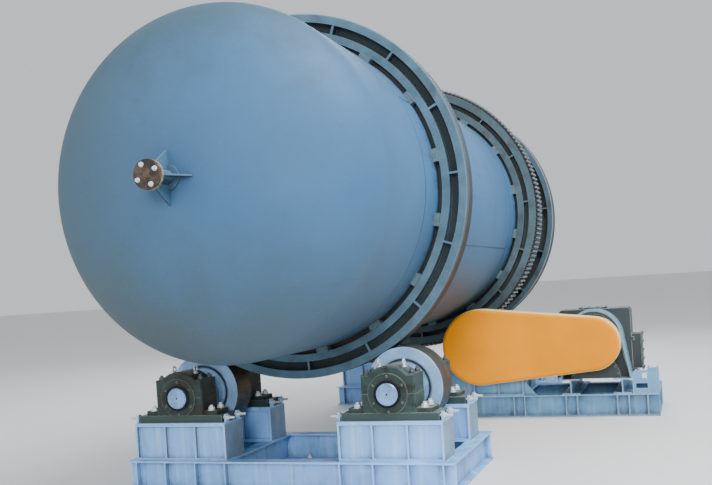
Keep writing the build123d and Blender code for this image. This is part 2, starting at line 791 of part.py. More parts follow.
foot_top = reducer_base + casing_foot_thick
foot_x0 = reducer_x - foot_half
foot_x1 = reducer_x + foot_half
foot = block(foot_x0, foot_x1, casing_y, casing_rear_y + casing_joint_out, reducer_base, foot_top)
side_x = reducer_x + casing_half_width
side_y = casing_y + side_box_set_back
side_z0 = reducer_base + side_box_low
side_z1 = reducer_base + side_box_high
side_box = block(side_x - 1, side_x + side_box_out, side_y, side_y + side_box_length, side_z0, side_z1)
side_cover = block(
    side_x + side_box_out - 1,
    side_x + side_box_out + side_cover_thick,
    side_y - side_cover_margin,
    side_y + side_box_length + side_cover_margin,
    side_z0 - side_cover_margin,
    side_z1 + side_cover_margin,
)
save(fuse([hood, casing, joint, foot, side_box, side_cover]), "reducer")

# Chain guard round the two sprocket ends, standing off the pedestal and the reducer on four spacers.
guard_y1 = skid_front_y - guard_gap
guard_y0 = guard_y1 - guard_depth
guard_outline = tapered_outline(pinion_x, pinion_z, guard_big_r, reducer_x, reducer_z, guard_small_r)
guard = upright_block(guard_outline, guard_y0, guard_y1)
guard = fillet(guard.faces().sort_by(Axis.Y)[0].edges(), guard_edge_r)
save(guard, "chain_guard")
spacers = []
for x in (pinion_x - spacer_half_spacing, pinion_x + spacer_half_spacing):
    x0 = x - spacer_half_width
    x1 = x + spacer_half_width
    z1 = pinion_pedestal_top - spacer_drop
    spacers.append(block(x0, x1, guard_y1, skid_front_y, z1 - spacer_thick, z1))
for x in (reducer_x - spacer_half_spacing, reducer_x + spacer_half_spacing):
    x0 = x - spacer_half_width
    x1 = x + spacer_half_width
    z0 = reducer_z - spacer_half_width
    z1 = reducer_z + spacer_half_width
    spacers.append(block(x0, x1, guard_y1, hood_back_y, z0, z1))
save(Compound(spacers), "guard_spacers")

# Motor behind the reducer, on a stool across the two bearers.
motor_x = reducer_x + motor_offset_x
motor_z = reducer_z - motor_drop
motor_y0 = casing_rear_y + coupling_length
motor_y1 = motor_y0 + motor_length
cowl_r = motor_r + motor_fin_height
half_y = (casing_rear_y + motor_y0) / 2
waist_y0 = half_y - coupling_waist / 2
waist_y1 = half_y + coupling_waist / 2
coupling = axis_cylinder(coupling_r, casing_rear_y + coupling_clearance_front, waist_y0, motor_x, motor_z)
coupling = coupling + axis_cylinder(coupling_waist_r, waist_y0 - 1, waist_y1 + 1, motor_x, motor_z)
coupling = coupling + axis_cylinder(coupling_r, waist_y1, motor_y0 - coupling_clearance_rear, motor_x, motor_z)
coupling = coupling + axis_cylinder(coupling_shaft_r, casing_rear_y, motor_y0, motor_x, motor_z)
save(coupling, "motor_coupling")
motor = axis_cylinder(motor_r, motor_y0, motor_y1)
fin_y0 = motor_y0 + motor_fin_front_gap
fin_y1 = motor_y1 - motor_fin_rear_gap
fin = block(motor_r - 2, cowl_r, fin_y0, fin_y1, -motor_fin_thick / 2, motor_fin_thick / 2)
motor = fuse([motor] + ring_of(fin, motor_fin_count, 180.0 / motor_fin_count))
motor = motor + axis_cylinder(cowl_r, motor_y0, motor_y0 + motor_flange_thick)
motor = motor + axis_cylinder(cowl_r, motor_y1 - motor_flange_thick, motor_y1 + motor_cowl_length)
foot_z = reducer_base + stool_height - motor_z
foot_y0 = motor_y0 + motor_foot_inset
foot_y1 = motor_y1 - motor_foot_inset
motor = motor + block(
    -motor_foot_half_width, motor_foot_half_width, foot_y0, foot_y1, foot_z, foot_z + motor_foot_thick
)
neck_top = motor_foot_thick - motor_r
motor = motor + block(-motor_neck_half_width, motor_neck_half_width, foot_y0, foot_y1, foot_z, neck_top)
save(Pos(motor_x, 0, motor_z) * motor, "drive_motor")
stool_x0 = bearer_xs[0] - bearer_width / 2
stool_x1 = bearer_xs[1] + bearer_width / 2
stool_y0 = foot_y0 - stool_margin
stool_y1 = foot_y1 + stool_margin
save(block(stool_x0, stool_x1, stool_y0, stool_y1, reducer_base, reducer_base + stool_height), "motor_stool")


# End stand: a stepped front plate with a slot and a notch, held by two side plates.
stand_x0 = skid_right_x - stand_width
stand_y1 = skid_front_y + stand_plate
stand_top_z = beam_height + stand_height
stand_step_z = beam_height + stand_step_height


def stand_hole(x, width, low, high):
    x0 = stand_x0 + x
    return block(x0, x0 + width, skid_front_y - 5, stand_y1 + 5, beam_height + low, beam_height + high)


stand_corners = [
    (stand_x0, beam_height),
    (stand_x0, stand_step_z - stand_corner_cut),
    (stand_x0 + stand_corner_cut, stand_step_z),
    (stand_x0 + stand_step_x, stand_step_z),
    (stand_x0 + stand_step_x, stand_top_z),
    (skid_right_x, stand_top_z),
    (skid_right_x, beam_height),
]
stand = upright_block(make_face(Polyline(*stand_corners, close=True)), skid_front_y, stand_y1)
stand = stand - stand_hole(stand_slot_x, stand_slot_width, stand_slot_low, stand_slot_high)
stand = stand - stand_hole(stand_notch_x, stand_notch_width, stand_notch_low, stand_notch_high)
for x in (stand_x0 + stand_step_x, skid_right_x - stand_plate):
    side = block(x, x + stand_plate, stand_y1 - 1, skid_front_y + stand_length, beam_height, stand_top_z)
    stand = stand + side
save(stand, "end_stand")
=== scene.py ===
import json
import math

import bmesh
import bpy
from mathutils import Matrix, Vector


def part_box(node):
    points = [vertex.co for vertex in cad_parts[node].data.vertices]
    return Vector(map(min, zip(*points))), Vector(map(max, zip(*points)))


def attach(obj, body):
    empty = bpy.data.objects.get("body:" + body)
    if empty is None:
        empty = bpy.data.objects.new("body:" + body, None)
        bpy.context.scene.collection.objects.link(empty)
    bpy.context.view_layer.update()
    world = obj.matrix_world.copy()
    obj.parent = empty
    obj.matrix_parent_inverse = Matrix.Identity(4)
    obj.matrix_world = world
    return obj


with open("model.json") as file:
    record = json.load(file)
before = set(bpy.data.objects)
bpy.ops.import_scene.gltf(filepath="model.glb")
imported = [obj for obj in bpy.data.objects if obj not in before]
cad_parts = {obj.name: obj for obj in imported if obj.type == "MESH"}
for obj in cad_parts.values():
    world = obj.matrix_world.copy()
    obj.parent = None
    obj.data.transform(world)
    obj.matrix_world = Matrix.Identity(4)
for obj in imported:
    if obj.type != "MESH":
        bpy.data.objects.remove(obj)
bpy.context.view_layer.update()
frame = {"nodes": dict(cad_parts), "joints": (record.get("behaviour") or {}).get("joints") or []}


def middle_of(node):
    low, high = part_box(node)
    return (low + high) / 2


# Centres of the turning bodies, in metres
joint_places = {joint["name"]: Vector(joint["pos_m"]) for joint in frame["joints"]}
drum_centre = joint_places["drum_spin"]
roller_places = ["front_left", "front_right", "rear_left", "rear_right"]
shafts = {place: joint_places[place + "_roller_spin"] for place in roller_places}
shafts["pinion"] = joint_places["pinion_spin"]
bearings = {
    place + "_bearing_" + end: shaft for place, shaft in shafts.items() for end in ("near", "far")
}

# Vessel, nozzles and tyres; a recess is the inner and outer radius of a ring's open web
shell_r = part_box("shell")[1].x
front_seam_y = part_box("front_head")[1].y
rear_seam_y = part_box("rear_head")[0].y
nozzle_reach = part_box("rear_nozzle")[1].y - middle_of("shell").y
tyre_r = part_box("front_tyre")[1].x
front_tyre_low, front_tyre_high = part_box("front_tyre")
tyre_recess = (1.360, 1.433)

# Girth gear and pinion, with their teeth from root to tip
gear_root_r = 1.4974
gear_tip_r = 1.5345
gear_recess = (1.362, 1.417)
pinion_root_r = 0.2186
pinion_tip_r = 0.2557

# Pedestals
pedestal_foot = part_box("front_left_pedestals")[0].z
pedestal_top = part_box("front_sole_plates")[0].z
pedestal_width = 0.834
pedestal_length = 0.305

# Reducer: hood in front, casing behind it on its foot
reducer_low, reducer_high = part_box("reducer")
foot_half_width = 0.430
reducer_x = reducer_low.x + foot_half_width
reducer_base = reducer_low.z
reducer_z = reducer_high.z - 0.350
hood_y = reducer_low.y + 0.018
hood_z = reducer_z + 0.054
casing_y = hood_y + 0.190
casing_rear_y = casing_y + 0.330

# Motor: flange in front, ribbed body, fan cowl behind
motor_low, motor_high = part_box("drive_motor")
cowl_r = 0.194
cowl_length = 0.096
motor_x = (motor_low.x + motor_high.x) / 2
motor_z = motor_high.z - cowl_r
motor_body_rear_y = motor_high.y - cowl_length
motor_middle_y = (motor_low.y + motor_body_rear_y) / 2

# Ways to face
upwards = (0, 0, 1)
downwards = (0, 0, -1)
leftwards = (-1, 0, 0)
rightwards = (1, 0, 0)
forwards = (0, -1, 0)
backwards = (0, 1, 0)

# Colours of the paints, as linear values
vessel_blue = (0.053, 0.146, 0.284)
# The vessel's grey, olive and underside colours also paint shade on its left, top and underside
vessel_grey = (0.068, 0.108, 0.124)
vessel_olive_shade = (0.060, 0.074, 0.066)
vessel_underside_shade = (0.030, 0.041, 0.028)
nozzle_blue = (0.058, 0.132, 0.215)
nozzle_underside_shade = (0.014, 0.018, 0.020)
tyre_blue = (0.075, 0.145, 0.200)
gear_blue = (0.056, 0.092, 0.112)
pad_blue = (0.072, 0.138, 0.172)
roller_pale = (0.30, 0.49, 0.76)
shaft_blue = (0.21, 0.38, 0.66)
frame_blue = (0.26, 0.54, 0.98)
skid_blue = (0.14, 0.33, 0.55)
bearing_green = (0.020, 0.040, 0.037)
faded_green = (0.060, 0.088, 0.084)
sole_green = (0.023, 0.053, 0.050)
guard_orange = (0.84, 0.28, 0.0)
guard_yellow = (0.90, 0.40, 0.0)
# Cream for scratches on the guard, and for the painted highlight round its edge
cream_scratch_and_highlight = (0.84, 0.66, 0.30)
reducer_blue = (0.015, 0.027, 0.030)
hood_blue = (0.15, 0.30, 0.42)
motor_blue = (0.030, 0.095, 0.165)
# Black for the painted shade in the motor fan's opening
opening_shade_black = (0.012, 0.012, 0.012)

# Colours of dirt, dusty films, oil and grease, some of them also painted shade and highlight
dirt_brown = (0.040, 0.030, 0.020)
dust_and_top_highlight_grey = (0.26, 0.28, 0.26)
# Deeper blues on the frames' and skid's upward faces, painted shade of their tops
frame_top_shade = (0.12, 0.31, 0.60)
skid_top_shade = (0.085, 0.20, 0.32)
# A lighter tone for the bearing cover ring's edge, dusty and also a painted highlight
cover_ring_dust_and_highlight = (0.115, 0.105, 0.085)
# Grey-green painted shade for the upright sides of the pedestals and beams
side_shade_grey = (0.130, 0.165, 0.145)
# Dirt and painted shade for the open webs of the tyres and the girth gear
tyre_web_dirt_and_shade = (0.027, 0.028, 0.023)
gear_web_dirt_and_shade = (0.030, 0.029, 0.024)
old_oil = (0.016, 0.014, 0.010)
brown_oil = (0.030, 0.023, 0.017)
wet_oil = (0.004, 0.004, 0.003)
oil_stain = (0.10, 0.075, 0.05)
oil_amber = (0.16, 0.075, 0.012)
grease_black = (0.014, 0.012, 0.010)

# Colours of worn edges; the pale frame and skid edges are also painted highlights
worn_grey = (0.49, 0.53, 0.49)
frame_edge_wear_and_highlight = (0.62, 0.76, 0.92)
skid_edge_wear_and_highlight = (0.52, 0.62, 0.70)
worn_ring = (0.26, 0.32, 0.36)
worn_pad = (0.30, 0.36, 0.40)
worn_tooth = (0.23, 0.27, 0.29)

# Colours of bare metal and rust
bare_steel = (0.24, 0.26, 0.28)
dark_steel = (0.060, 0.060, 0.060)
zinc_white = (0.76, 0.80, 0.84)
bolt_grey = (0.10, 0.11, 0.11)
tyre_steel = ((0.050, 0.078, 0.104), (0.100, 0.138, 0.170))
# Tread colours above and below the axis: stain, and painted shade on the tread's far side
tyre_stain_and_shade = ((0.034, 0.042, 0.050), (0.036, 0.026, 0.012))
tyre_corner = (0.30, 0.34, 0.36)
roller_steel = ((0.026, 0.029, 0.026), (0.090, 0.100, 0.092))
roller_stain = (0.038, 0.028, 0.020)
flange_rust = ((0.25, 0.215, 0.150), (0.085, 0.056, 0.038))
cover_rust = ((0.014, 0.011, 0.009), (0.105, 0.066, 0.040))
rust_pit = (0.020, 0.015, 0.013)


def rgba(colour):
    if isinstance(colour, Value) or len(colour) == 4:
        return colour
    return (*colour, 1.0)


def shade(colour, factor):
    return tuple(channel * factor for channel in colour)


# Shader maths
def both_ways(operation):
    """An operator of Value and its reflected form."""

    def straight(value, other):
        return value.maths(operation, value, other)

    def reflected(value, other):
        return value.maths(operation, other, value)

    return straight, reflected


class Value:
    """A shader socket that plain Python expressions can use."""

    __add__, __radd__ = both_ways("ADD")
    __sub__, __rsub__ = both_ways("SUBTRACT")
    __mul__, __rmul__ = both_ways("MULTIPLY")
    __truediv__, __rtruediv__ = both_ways("DIVIDE")
    __pow__, __rpow__ = both_ways("POWER")

    def __init__(self, finish, socket):
        self.finish = finish
        self.socket = socket

    def maths(self, operation, first, second=0.0):
        return self.finish.node("ShaderNodeMath", {"operation": operation}, {0: first, 1: second})

    def below(self, limit):
        return self.maths("MINIMUM", self, limit)

    def above(self, limit):
        return self.maths("MAXIMUM", self, limit)

    def size(self):
        return self.maths("ABSOLUTE", self)

    def wave(self):
        return self.maths("SINE", self)

    def rise(self, start, end):
        """0 before start, 1 after end, smooth between."""
        return self.finish.node(
            "ShaderNodeMapRange",
            {"interpolation_type": "SMOOTHSTEP"},
            {"Value": self, "From Min": start, "From Max": end, "To Min": 0.0, "To Max": 1.0},
        )

    def fall(self, start, end):
        """1 before start, 0 after end, smooth between."""
        return 1.0 - self.rise(start, end)

    def between(self, low, high, soft):
        """1 between two limits, with soft borders."""
        return self.rise(low - soft, low + soft) * self.fall(high - soft, high + soft)

    def uneven(self, noise, amount):
        """The value, moved up and down a little, so that a limit on it isn't a clean line."""
        return self + (noise - 0.5) * amount


class Finish:
    """One procedural material with a Principled shader."""

    def __init__(self, name, metallic=0.0, specular=0.5):
        self.material = bpy.data.materials.new(name)
        self.material.use_nodes = True
        self.tree = self.material.node_tree
        self.tree.nodes.clear()
        self.shader = self.tree.nodes.new("ShaderNodeBsdfPrincipled")
        surface = self.tree.nodes.new("ShaderNodeOutputMaterial")
        self.tree.links.new(self.shader.outputs[0], surface.inputs[0])
        self.set("Metallic", metallic)
        self.set("Specular IOR Level", specular)
        self.place = self.node("ShaderNodeTexCoord", output="Object")

    def node(self, kind, settings=None, inputs=None, output=0):
        node = self.tree.nodes.new(kind)
        for name, value in (settings or {}).items():
            setattr(node, name, value)
        for name, value in (inputs or {}).items():
            self.feed(node.inputs[name], value)
        return Value(self, node.outputs[output])

    def feed(self, socket, value):
        if isinstance(value, Value):
            self.tree.links.new(value.socket, socket)
        else:
            socket.default_value = value

    def set(self, name, value):
        self.feed(self.shader.inputs[name], value)

    def tone(self):
        """The colour that the shader has so far."""
        return Value(self, self.shader.inputs["Base Color"].links[0].from_socket)

    def mix(self, first, second, amount):
        settings = {"data_type": "RGBA", "blend_type": "MIX", "clamp_factor": True}
        colours = {0: amount, 6: rgba(first), 7: rgba(second)}
        return self.node("ShaderNodeMix", settings, colours, 2)

    def mottled(self, colour, dark, light, amount):
        """A colour between its darker and its lighter shade."""
        return self.mix(shade(colour, dark), shade(colour, light), amount)

    def axes(self, vector=None):
        """X, Y and Z of a vector, or else of the place on the piece."""
        source = {0: vector or self.place}
        return [self.node("ShaderNodeSeparateXYZ", inputs=source, output=k) for k in range(3)]

    def stretched(self, scale, turn=(0.0, 0.0, 0.0)):
        """The place on the piece, scaled and turned so that noise on it comes out as streaks."""
        inputs = {"Vector": self.place, "Scale": scale, "Rotation": turn}
        return self.node("ShaderNodeMapping", {"vector_type": "POINT"}, inputs)

    def noise(self, scale, detail, rough, vector=None):
        source = vector or self.place
        inputs = {"Vector": source, "Scale": scale, "Detail": detail, "Roughness": rough}
        return self.node("ShaderNodeTexNoise", {"noise_dimensions": "3D"}, inputs, "Fac")

    # Kinds of noise, from wide swells to fine grain
    def broad(self, scale, vector=None):
        return self.noise(scale, 3.0, 0.5, vector)

    def clouds(self, scale, vector=None):
        return self.noise(scale, 5.0, 0.6, vector)

    def patches(self, scale):
        return self.noise(scale, 4.0, 0.6)

    def grain(self, scale):
        return self.noise(scale, 4.0, 0.7)

    def radius_from(self, centre):
        """Distance from a turning axis along Y."""
        x, _, z = self.axes()
        across = x - centre.x
        up = z - centre.z
        return (across * across + up * up) ** 0.5

    def off_middle(self, node):
        """Distance along Y from the middle of a CAD node."""
        return (self.axes()[1] - middle_of(node).y).size()

    def facing(self):
        """How far a face looks along X, Y and Z."""
        return self.axes(self.node("ShaderNodeNewGeometry", output="Normal"))

    def upward(self):
        """1 on faces that look up, 0 on the rest."""
        return self.facing()[2].rise(0.60, 0.95)

    def corners(self, reach):
        """1 deep in corners and gaps, 0 in the open; it paints shade into corners."""
        inputs = {"Distance": reach}
        open_air = self.node("ShaderNodeAmbientOcclusion", {"samples": 6}, inputs, "AO")
        return open_air.fall(0.30, 0.85)

    def worn_edges(self, width):
        """1 along the edges of a piece, 0 on its flats."""
        rounded = self.node("ShaderNodeBevel", {"samples": 4}, {"Radius": width}, "Normal")
        true = self.node("ShaderNodeNewGeometry", output="Normal")
        inputs = {0: rounded, 1: true}
        agree = self.node("ShaderNodeVectorMath", {"operation": "DOT_PRODUCT"}, inputs, "Value")
        return (1.0 - agree).rise(0.02, 0.22)

    def bump(self, height, strength, distance):
        inputs = {"Height": height, "Strength": strength, "Distance": distance}
        self.set("Normal", self.node("ShaderNodeBump", {}, inputs))


# Finishes
def painted(
    name,
    colour,
    dirt,
    wear=0.0,
    roughness=0.5,
    specular=0.5,
    edge=0.004,
    edge_colour=worn_grey,
    top_dust_and_shading=0.3,
    top_dust_and_shading_colour=dust_and_top_highlight_grey,
    low=None,
    highlight_streaks=0.0,
    side_shade=0.0,
):
    """Paint on steel: mottled, dusty with painted shading on top, dirty with painted shade in its
    corners, and worn at its edges, which on the frames and skid are also painted highlights.

    Dirt from the floor thins out upwards from the height low. Pale vertical streaks are painted
    highlights, and a grey-green painted shade covers upright sides, thickest on the pedestals.
    """
    finish = Finish(name, specular=specular)
    cloudy = finish.clouds(5.0)
    fine = finish.grain(60.0)
    runs = finish.clouds(3.0, finish.stretched((6.0, 6.0, 0.7)))
    height = finish.axes()[2]
    tone = finish.mottled(colour, 0.86, 1.08, finish.broad(0.9).rise(0.35, 0.65))
    tone = finish.mix(tone, shade(colour, 0.76), cloudy.rise(0.52, 0.75) * 0.5)
    tone = finish.mix(tone, shade(colour, 1.25), fine.rise(0.55, 0.80) * 0.35)
    # Pale vertical streaks, painted highlights like the light on lit plate faces
    if highlight_streaks > 0:
        pale = tuple(0.45 * channel + 0.52 for channel in colour)
        streak_noise = finish.broad(4.0, finish.stretched((5.0, 5.0, 0.25)))
        tone = finish.mix(tone, pale, streak_noise.rise(0.50, 0.72) * highlight_streaks)
    # Corners and gaps get painted shade from the occlusion mask, mixed in with the brown dirt
    corner_shade = finish.corners(0.07) * cloudy.rise(0.15, 0.60)
    grime = runs.rise(0.54, 0.78) * dirt + corner_shade * dirt * 1.6
    if low is not None:
        grime = grime + height.fall(low, low + 0.5) * cloudy.rise(0.3, 0.7) * dirt
    grime = grime.below(1.0)
    tone = finish.mix(tone, dirt_brown, grime * 0.65)
    # Faces that look up get a dusty tint that is also painted top shading: a lighter highlight on
    # the bearings, a deeper blue shade on the frames and skid
    if top_dust_and_shading > 0:
        tone = finish.mix(tone, top_dust_and_shading_colour, finish.upward() * cloudy.rise(0.25, 0.65) * top_dust_and_shading)
    # Upright faces across X below the sole plates get a grey-green painted shade, thickest on the
    # pedestals
    if side_shade > 0:
        on_pedestal = height.rise(pedestal_foot, pedestal_foot + 0.01) * 0.65 + 0.35
        sideways = finish.facing()[0].size().rise(0.80, 0.95)
        under_soles = height.fall(pedestal_top - 0.02, pedestal_top)
        painted_side_shade = sideways * under_soles * on_pedestal * (cloudy + 0.5).below(1.1) * side_shade
        tone = finish.mix(tone, side_shade_grey, painted_side_shade)
    if wear > 0:
        edges = finish.worn_edges(edge) * fine.rise(0.30, 0.60) * wear
        tone = finish.mix(tone, edge_colour, edges)
    finish.set("Base Color", tone)
    finish.set("Roughness", (cloudy * 0.25 + roughness - 0.10 + grime * 0.2).below(0.95))
    finish.bump(finish.noise(35.0, 3.0, 0.6) + fine * 0.3, 0.12, 0.002)
    return finish


def vessel_finish():
    """Matt blue paint on rolled plate.

    Painted shade makes it greyer and darker on top, greyer on the near head's left, and olive and
    dark underneath, with some dirt there too. It is streaked with brown beside the tyres and the
    girth gear.
    """
    finish = Finish("vessel_paint", specular=0.22)
    broad = finish.noise(0.55, 4.0, 0.55)
    cloudy = finish.noise(2.4, 6.0, 0.62)
    fine = finish.grain(45.0)
    specks = finish.noise(190.0, 2.0, 0.6)
    runs = finish.clouds(2.2, finish.stretched((5.0, 0.8, 5.0)))
    across, along, height = finish.axes()
    above_axis = height - drum_centre.z
    shift = cloudy * 0.9 - 0.45
    near_head = along.fall(front_seam_y - 0.4, front_seam_y)
    past_near_tyre = along.rise(front_tyre_low.y, front_tyre_high.y)
    # Painted shade: greyer on the near head's left, darker grey on top, olive and darker underneath
    left = (across + shift).fall(-1.1, 0.5) * near_head
    top = (above_axis + shift).rise(0.4, 1.3)
    low = (above_axis + shift * 0.6).fall(-1.2, -0.15)
    vessel_bottom_shade = (above_axis + shift * 0.4).fall(-1.25, -0.65) * past_near_tyre
    tone = finish.mottled(vessel_blue, 0.88, 1.10, broad.rise(0.30, 0.70))
    tone = finish.mix(tone, vessel_grey, left * 0.80)
    tone = finish.mix(tone, shade(vessel_grey, 0.66), top * 0.80)
    tone = finish.mix(tone, vessel_olive_shade, low * 0.75)
    tone = finish.mix(tone, vessel_underside_shade, vessel_bottom_shade * 0.68)
    tone = finish.mix(tone, vessel_grey, cloudy.rise(0.50, 0.80) * 0.30)
    tone = finish.mix(tone, shade(vessel_blue, 1.35), fine.rise(0.52, 0.80) * 0.28)
    tone = finish.mix(tone, shade(vessel_blue, 0.62), specks.rise(0.56, 0.78) * 0.40)
    near_rings = 0.0
    for ring, reach in (("front_tyre", 0.30), ("rear_tyre", 0.34), ("girth_gear", 0.30)):
        near_rings = near_rings + finish.off_middle(ring).fall(0.08, reach)
    streaks = runs.rise(0.60, 0.85) * 0.22 + runs.rise(0.40, 0.70) * near_rings * 0.55
    grime = streaks.below(0.85)
    finish.set("Base Color", finish.mix(tone, dirt_brown, grime))
    finish.set("Roughness", (cloudy * 0.22 + 0.48 + grime * 0.2).below(0.95))
    finish.bump(broad * 1.6 + finish.broad(7.0) * 0.5 + fine * 0.06, 0.35, 0.006)
    return finish


def nozzle_finish():
    """Blue paint on pipe and gussets with painted shade on faces that look down, and tan rust on
    the flanges.
    """
    finish = painted(
        "nozzle_paint", nozzle_blue, dirt=0.3, wear=0.25, roughness=0.6, specular=0.22, top_dust_and_shading=0.25
    )
    along = finish.off_middle("shell")
    flange = along.rise(nozzle_reach - 0.028, nozzle_reach - 0.024)
    tan = finish.mix(*flange_rust, finish.noise(30.0, 5.0, 0.65).rise(0.45, 0.70))
    # Faces that look down are darkened: painted shade under the pipe and gussets
    down_face_shade = finish.facing()[2].fall(-0.65, -0.15)
    paint = finish.mix(finish.tone(), nozzle_underside_shade, down_face_shade * 0.80)
    finish.set("Base Color", finish.mix(paint, tan, flange))
    return finish


def open_web(finish, radius, node, recess):
    """1 on the web between a ring's inner flange and its rim, 0 on the edges of its ribs."""
    low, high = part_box(node)
    face = (high.y - low.y) / 2
    return radius.between(*recess, 0.003) * finish.off_middle(node).fall(face - 0.022, face - 0.010)


def tyre_finish(node, colour, grease_and_shade, bright_corner):
    """Painted tyre with dirt and painted shade in its webs, and a bare tread with stain and painted
    shade at its far side.
    """
    finish = Finish(node + "_paint", specular=0.20)
    cloudy = finish.clouds(4.0)
    fine = finish.grain(70.0)
    runs = finish.patches(6.0)
    radius = finish.radius_from(drum_centre)
    paint = finish.mottled(colour, 0.80, 1.20, cloudy.rise(0.3, 0.7))
    paint = finish.mix(paint, shade(colour, 1.45), fine.rise(0.50, 0.75) * 0.45)
    # The grease amount darkens the tyre with grease from the gear and with painted shade
    grime = (runs.rise(0.50, 0.72) * 0.35 + grease_and_shade * cloudy.rise(0.15, 0.55)).below(0.9)
    paint = finish.mix(paint, dirt_brown, grime)
    # The open web is darkened: dirt and painted shade in the recess
    web = open_web(finish, radius, node, tyre_recess)
    paint = finish.mix(paint, tyre_web_dirt_and_shade, web * (fine * 0.5 + 0.60))
    edges = finish.worn_edges(0.006) * fine.rise(0.25, 0.55)
    paint = finish.mix(paint, worn_ring, edges * 0.5)
    corner = radius.rise(tyre_r - 0.011, tyre_r - 0.007) * (fine * 0.5 + 0.5)
    paint = finish.mix(paint, tyre_corner, corner * bright_corner)
    near_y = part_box(node)[0].y
    _, y, z = finish.axes()
    # The tread is darker and browner at its far side and lower down: stain, and painted shade where
    # it turns away from the light
    lower = z.fall(drum_centre.z - 0.8, drum_centre.z + 0.7)
    across_tread = y.uneven(cloudy, 0.05) + lower * 0.040
    far_side = across_tread.rise(near_y + 0.055, near_y + 0.110)
    stain = (far_side * (lower * 0.50 + 0.45) + runs.rise(0.50, 0.75) * 0.25).below(0.95)
    steel = finish.mix(*tyre_steel, fine.rise(0.35, 0.65))
    steel = finish.mix(steel, finish.mix(*tyre_stain_and_shade, lower), stain)
    tread = radius.uneven(fine, 0.004).rise(tyre_r - 0.004, tyre_r - 0.001)
    finish.set("Base Color", finish.mix(paint, steel, tread))
    finish.set("Metallic", tread * 0.15)
    finish.set("Roughness", (cloudy * 0.25 + 0.50 + web * 0.2).below(0.95))
    finish.bump(fine + runs * 0.5, 0.16, 0.002)
    return finish


def gear_finish(name, colour, centre, root_r, tip_r, node=None):
    """Painted rim and webs, the open webs darkened by dirt and painted shade, with black grease
    between the teeth and worn metal at their tips.
    """
    finish = Finish(name, specular=0.25)
    cloudy = finish.clouds(4.0)
    fine = finish.grain(70.0)
    radius = finish.radius_from(centre)
    teeth = radius.uneven(cloudy, 0.010).rise(root_r - 0.004, root_r + 0.004)
    paint = finish.mottled(colour, 0.78, 1.20, cloudy.rise(0.3, 0.7))
    paint = finish.mix(paint, dirt_brown, finish.patches(7.0).rise(0.45, 0.72) * 0.55)
    if node:
        # The open web is darkened: dirt and painted shade in the recess
        web = open_web(finish, radius, node, gear_recess)
        paint = finish.mix(paint, gear_web_dirt_and_shade, web * (fine * 0.4 + 0.6))
        edges = finish.worn_edges(0.006) * fine.rise(0.25, 0.55)
        paint = finish.mix(paint, worn_ring, edges * 0.5)
    worn = radius.uneven(fine, 0.010).rise(root_r + 0.010, tip_r - 0.002)
    metal = finish.mix(grease_black, worn_tooth, worn * 0.85)
    metal = finish.mix(metal, grease_black, cloudy.rise(0.55, 0.8) * 0.6)
    finish.set("Base Color", finish.mix(paint, metal, teeth))
    finish.set("Metallic", teeth * 0.25)
    finish.set("Roughness", cloudy * 0.25 + 0.40 - teeth * 0.08)
    finish.bump(fine, 0.15, 0.002)
    return finish


def pads_finish(node):
    """Painted pads, with the band between them under the ring painted black as shade in the gap."""
    finish = Finish(node + "_paint")
    cloudy = finish.clouds(6.0)
    fine = finish.grain(70.0)
    paint = finish.mottled(pad_blue, 0.80, 1.25, fine.rise(0.3, 0.7))
    paint = finish.mix(paint, dirt_brown, cloudy.rise(0.45, 0.70) * 0.45)
    edges = finish.worn_edges(0.005) * fine.rise(0.3, 0.6)
    paint = finish.mix(paint, worn_pad, edges * 0.35)
    # The band under the ring's middle is black: painted shade in the gap between shell and ring
    off_band = finish.off_middle(node).rise(0.032, 0.040)
    finish.set("Base Color", finish.mix(grease_black, paint, off_band))
    finish.set("Roughness", cloudy * 0.25 + 0.42)
    finish.bump(fine + cloudy * 0.5, 0.16, 0.002)
    return finish


def roller_finish(node, centre):
    """Pale painted roller faces with oil at the hub, oil and painted shade in the recess, and a
    dark rolled tread.
    """
    finish = Finish(node + "_finish", specular=0.30)
    tread_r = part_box(node)[1].x - centre.x
    cloudy = finish.clouds(6.0)
    fine = finish.grain(70.0)
    radius = finish.radius_from(centre)
    paint = finish.mottled(roller_pale, 0.82, 1.12, cloudy.rise(0.3, 0.7))
    paint = finish.mix(paint, shade(roller_pale, 0.62), fine.rise(0.55, 0.8) * 0.35)
    # The recess ring is darkened: oil, and painted shade in the groove
    recess_oil_and_shade = radius.between(0.200, 0.230, 0.010) * 0.75
    at_hub = radius.fall(0.120, 0.165) * 0.45
    oily = (recess_oil_and_shade + at_hub + finish.patches(9.0).rise(0.52, 0.75) * 0.35).below(0.9)
    paint = finish.mix(paint, dirt_brown, oily * cloudy.rise(0.10, 0.50))
    steel = finish.mix(*roller_steel, fine.rise(0.35, 0.65))
    steel = finish.mix(steel, roller_stain, cloudy.rise(0.35, 0.62) * 0.75)
    tread = radius.uneven(fine, 0.003).rise(tread_r - 0.004, tread_r - 0.001)
    finish.set("Base Color", finish.mix(paint, steel, tread))
    finish.set("Metallic", tread * 0.3)
    finish.set("Roughness", (cloudy * 0.25 + 0.38 - tread * 0.06 + oily * 0.1).below(0.95))
    finish.bump(fine + cloudy * 0.5, 0.14, 0.002)
    return finish


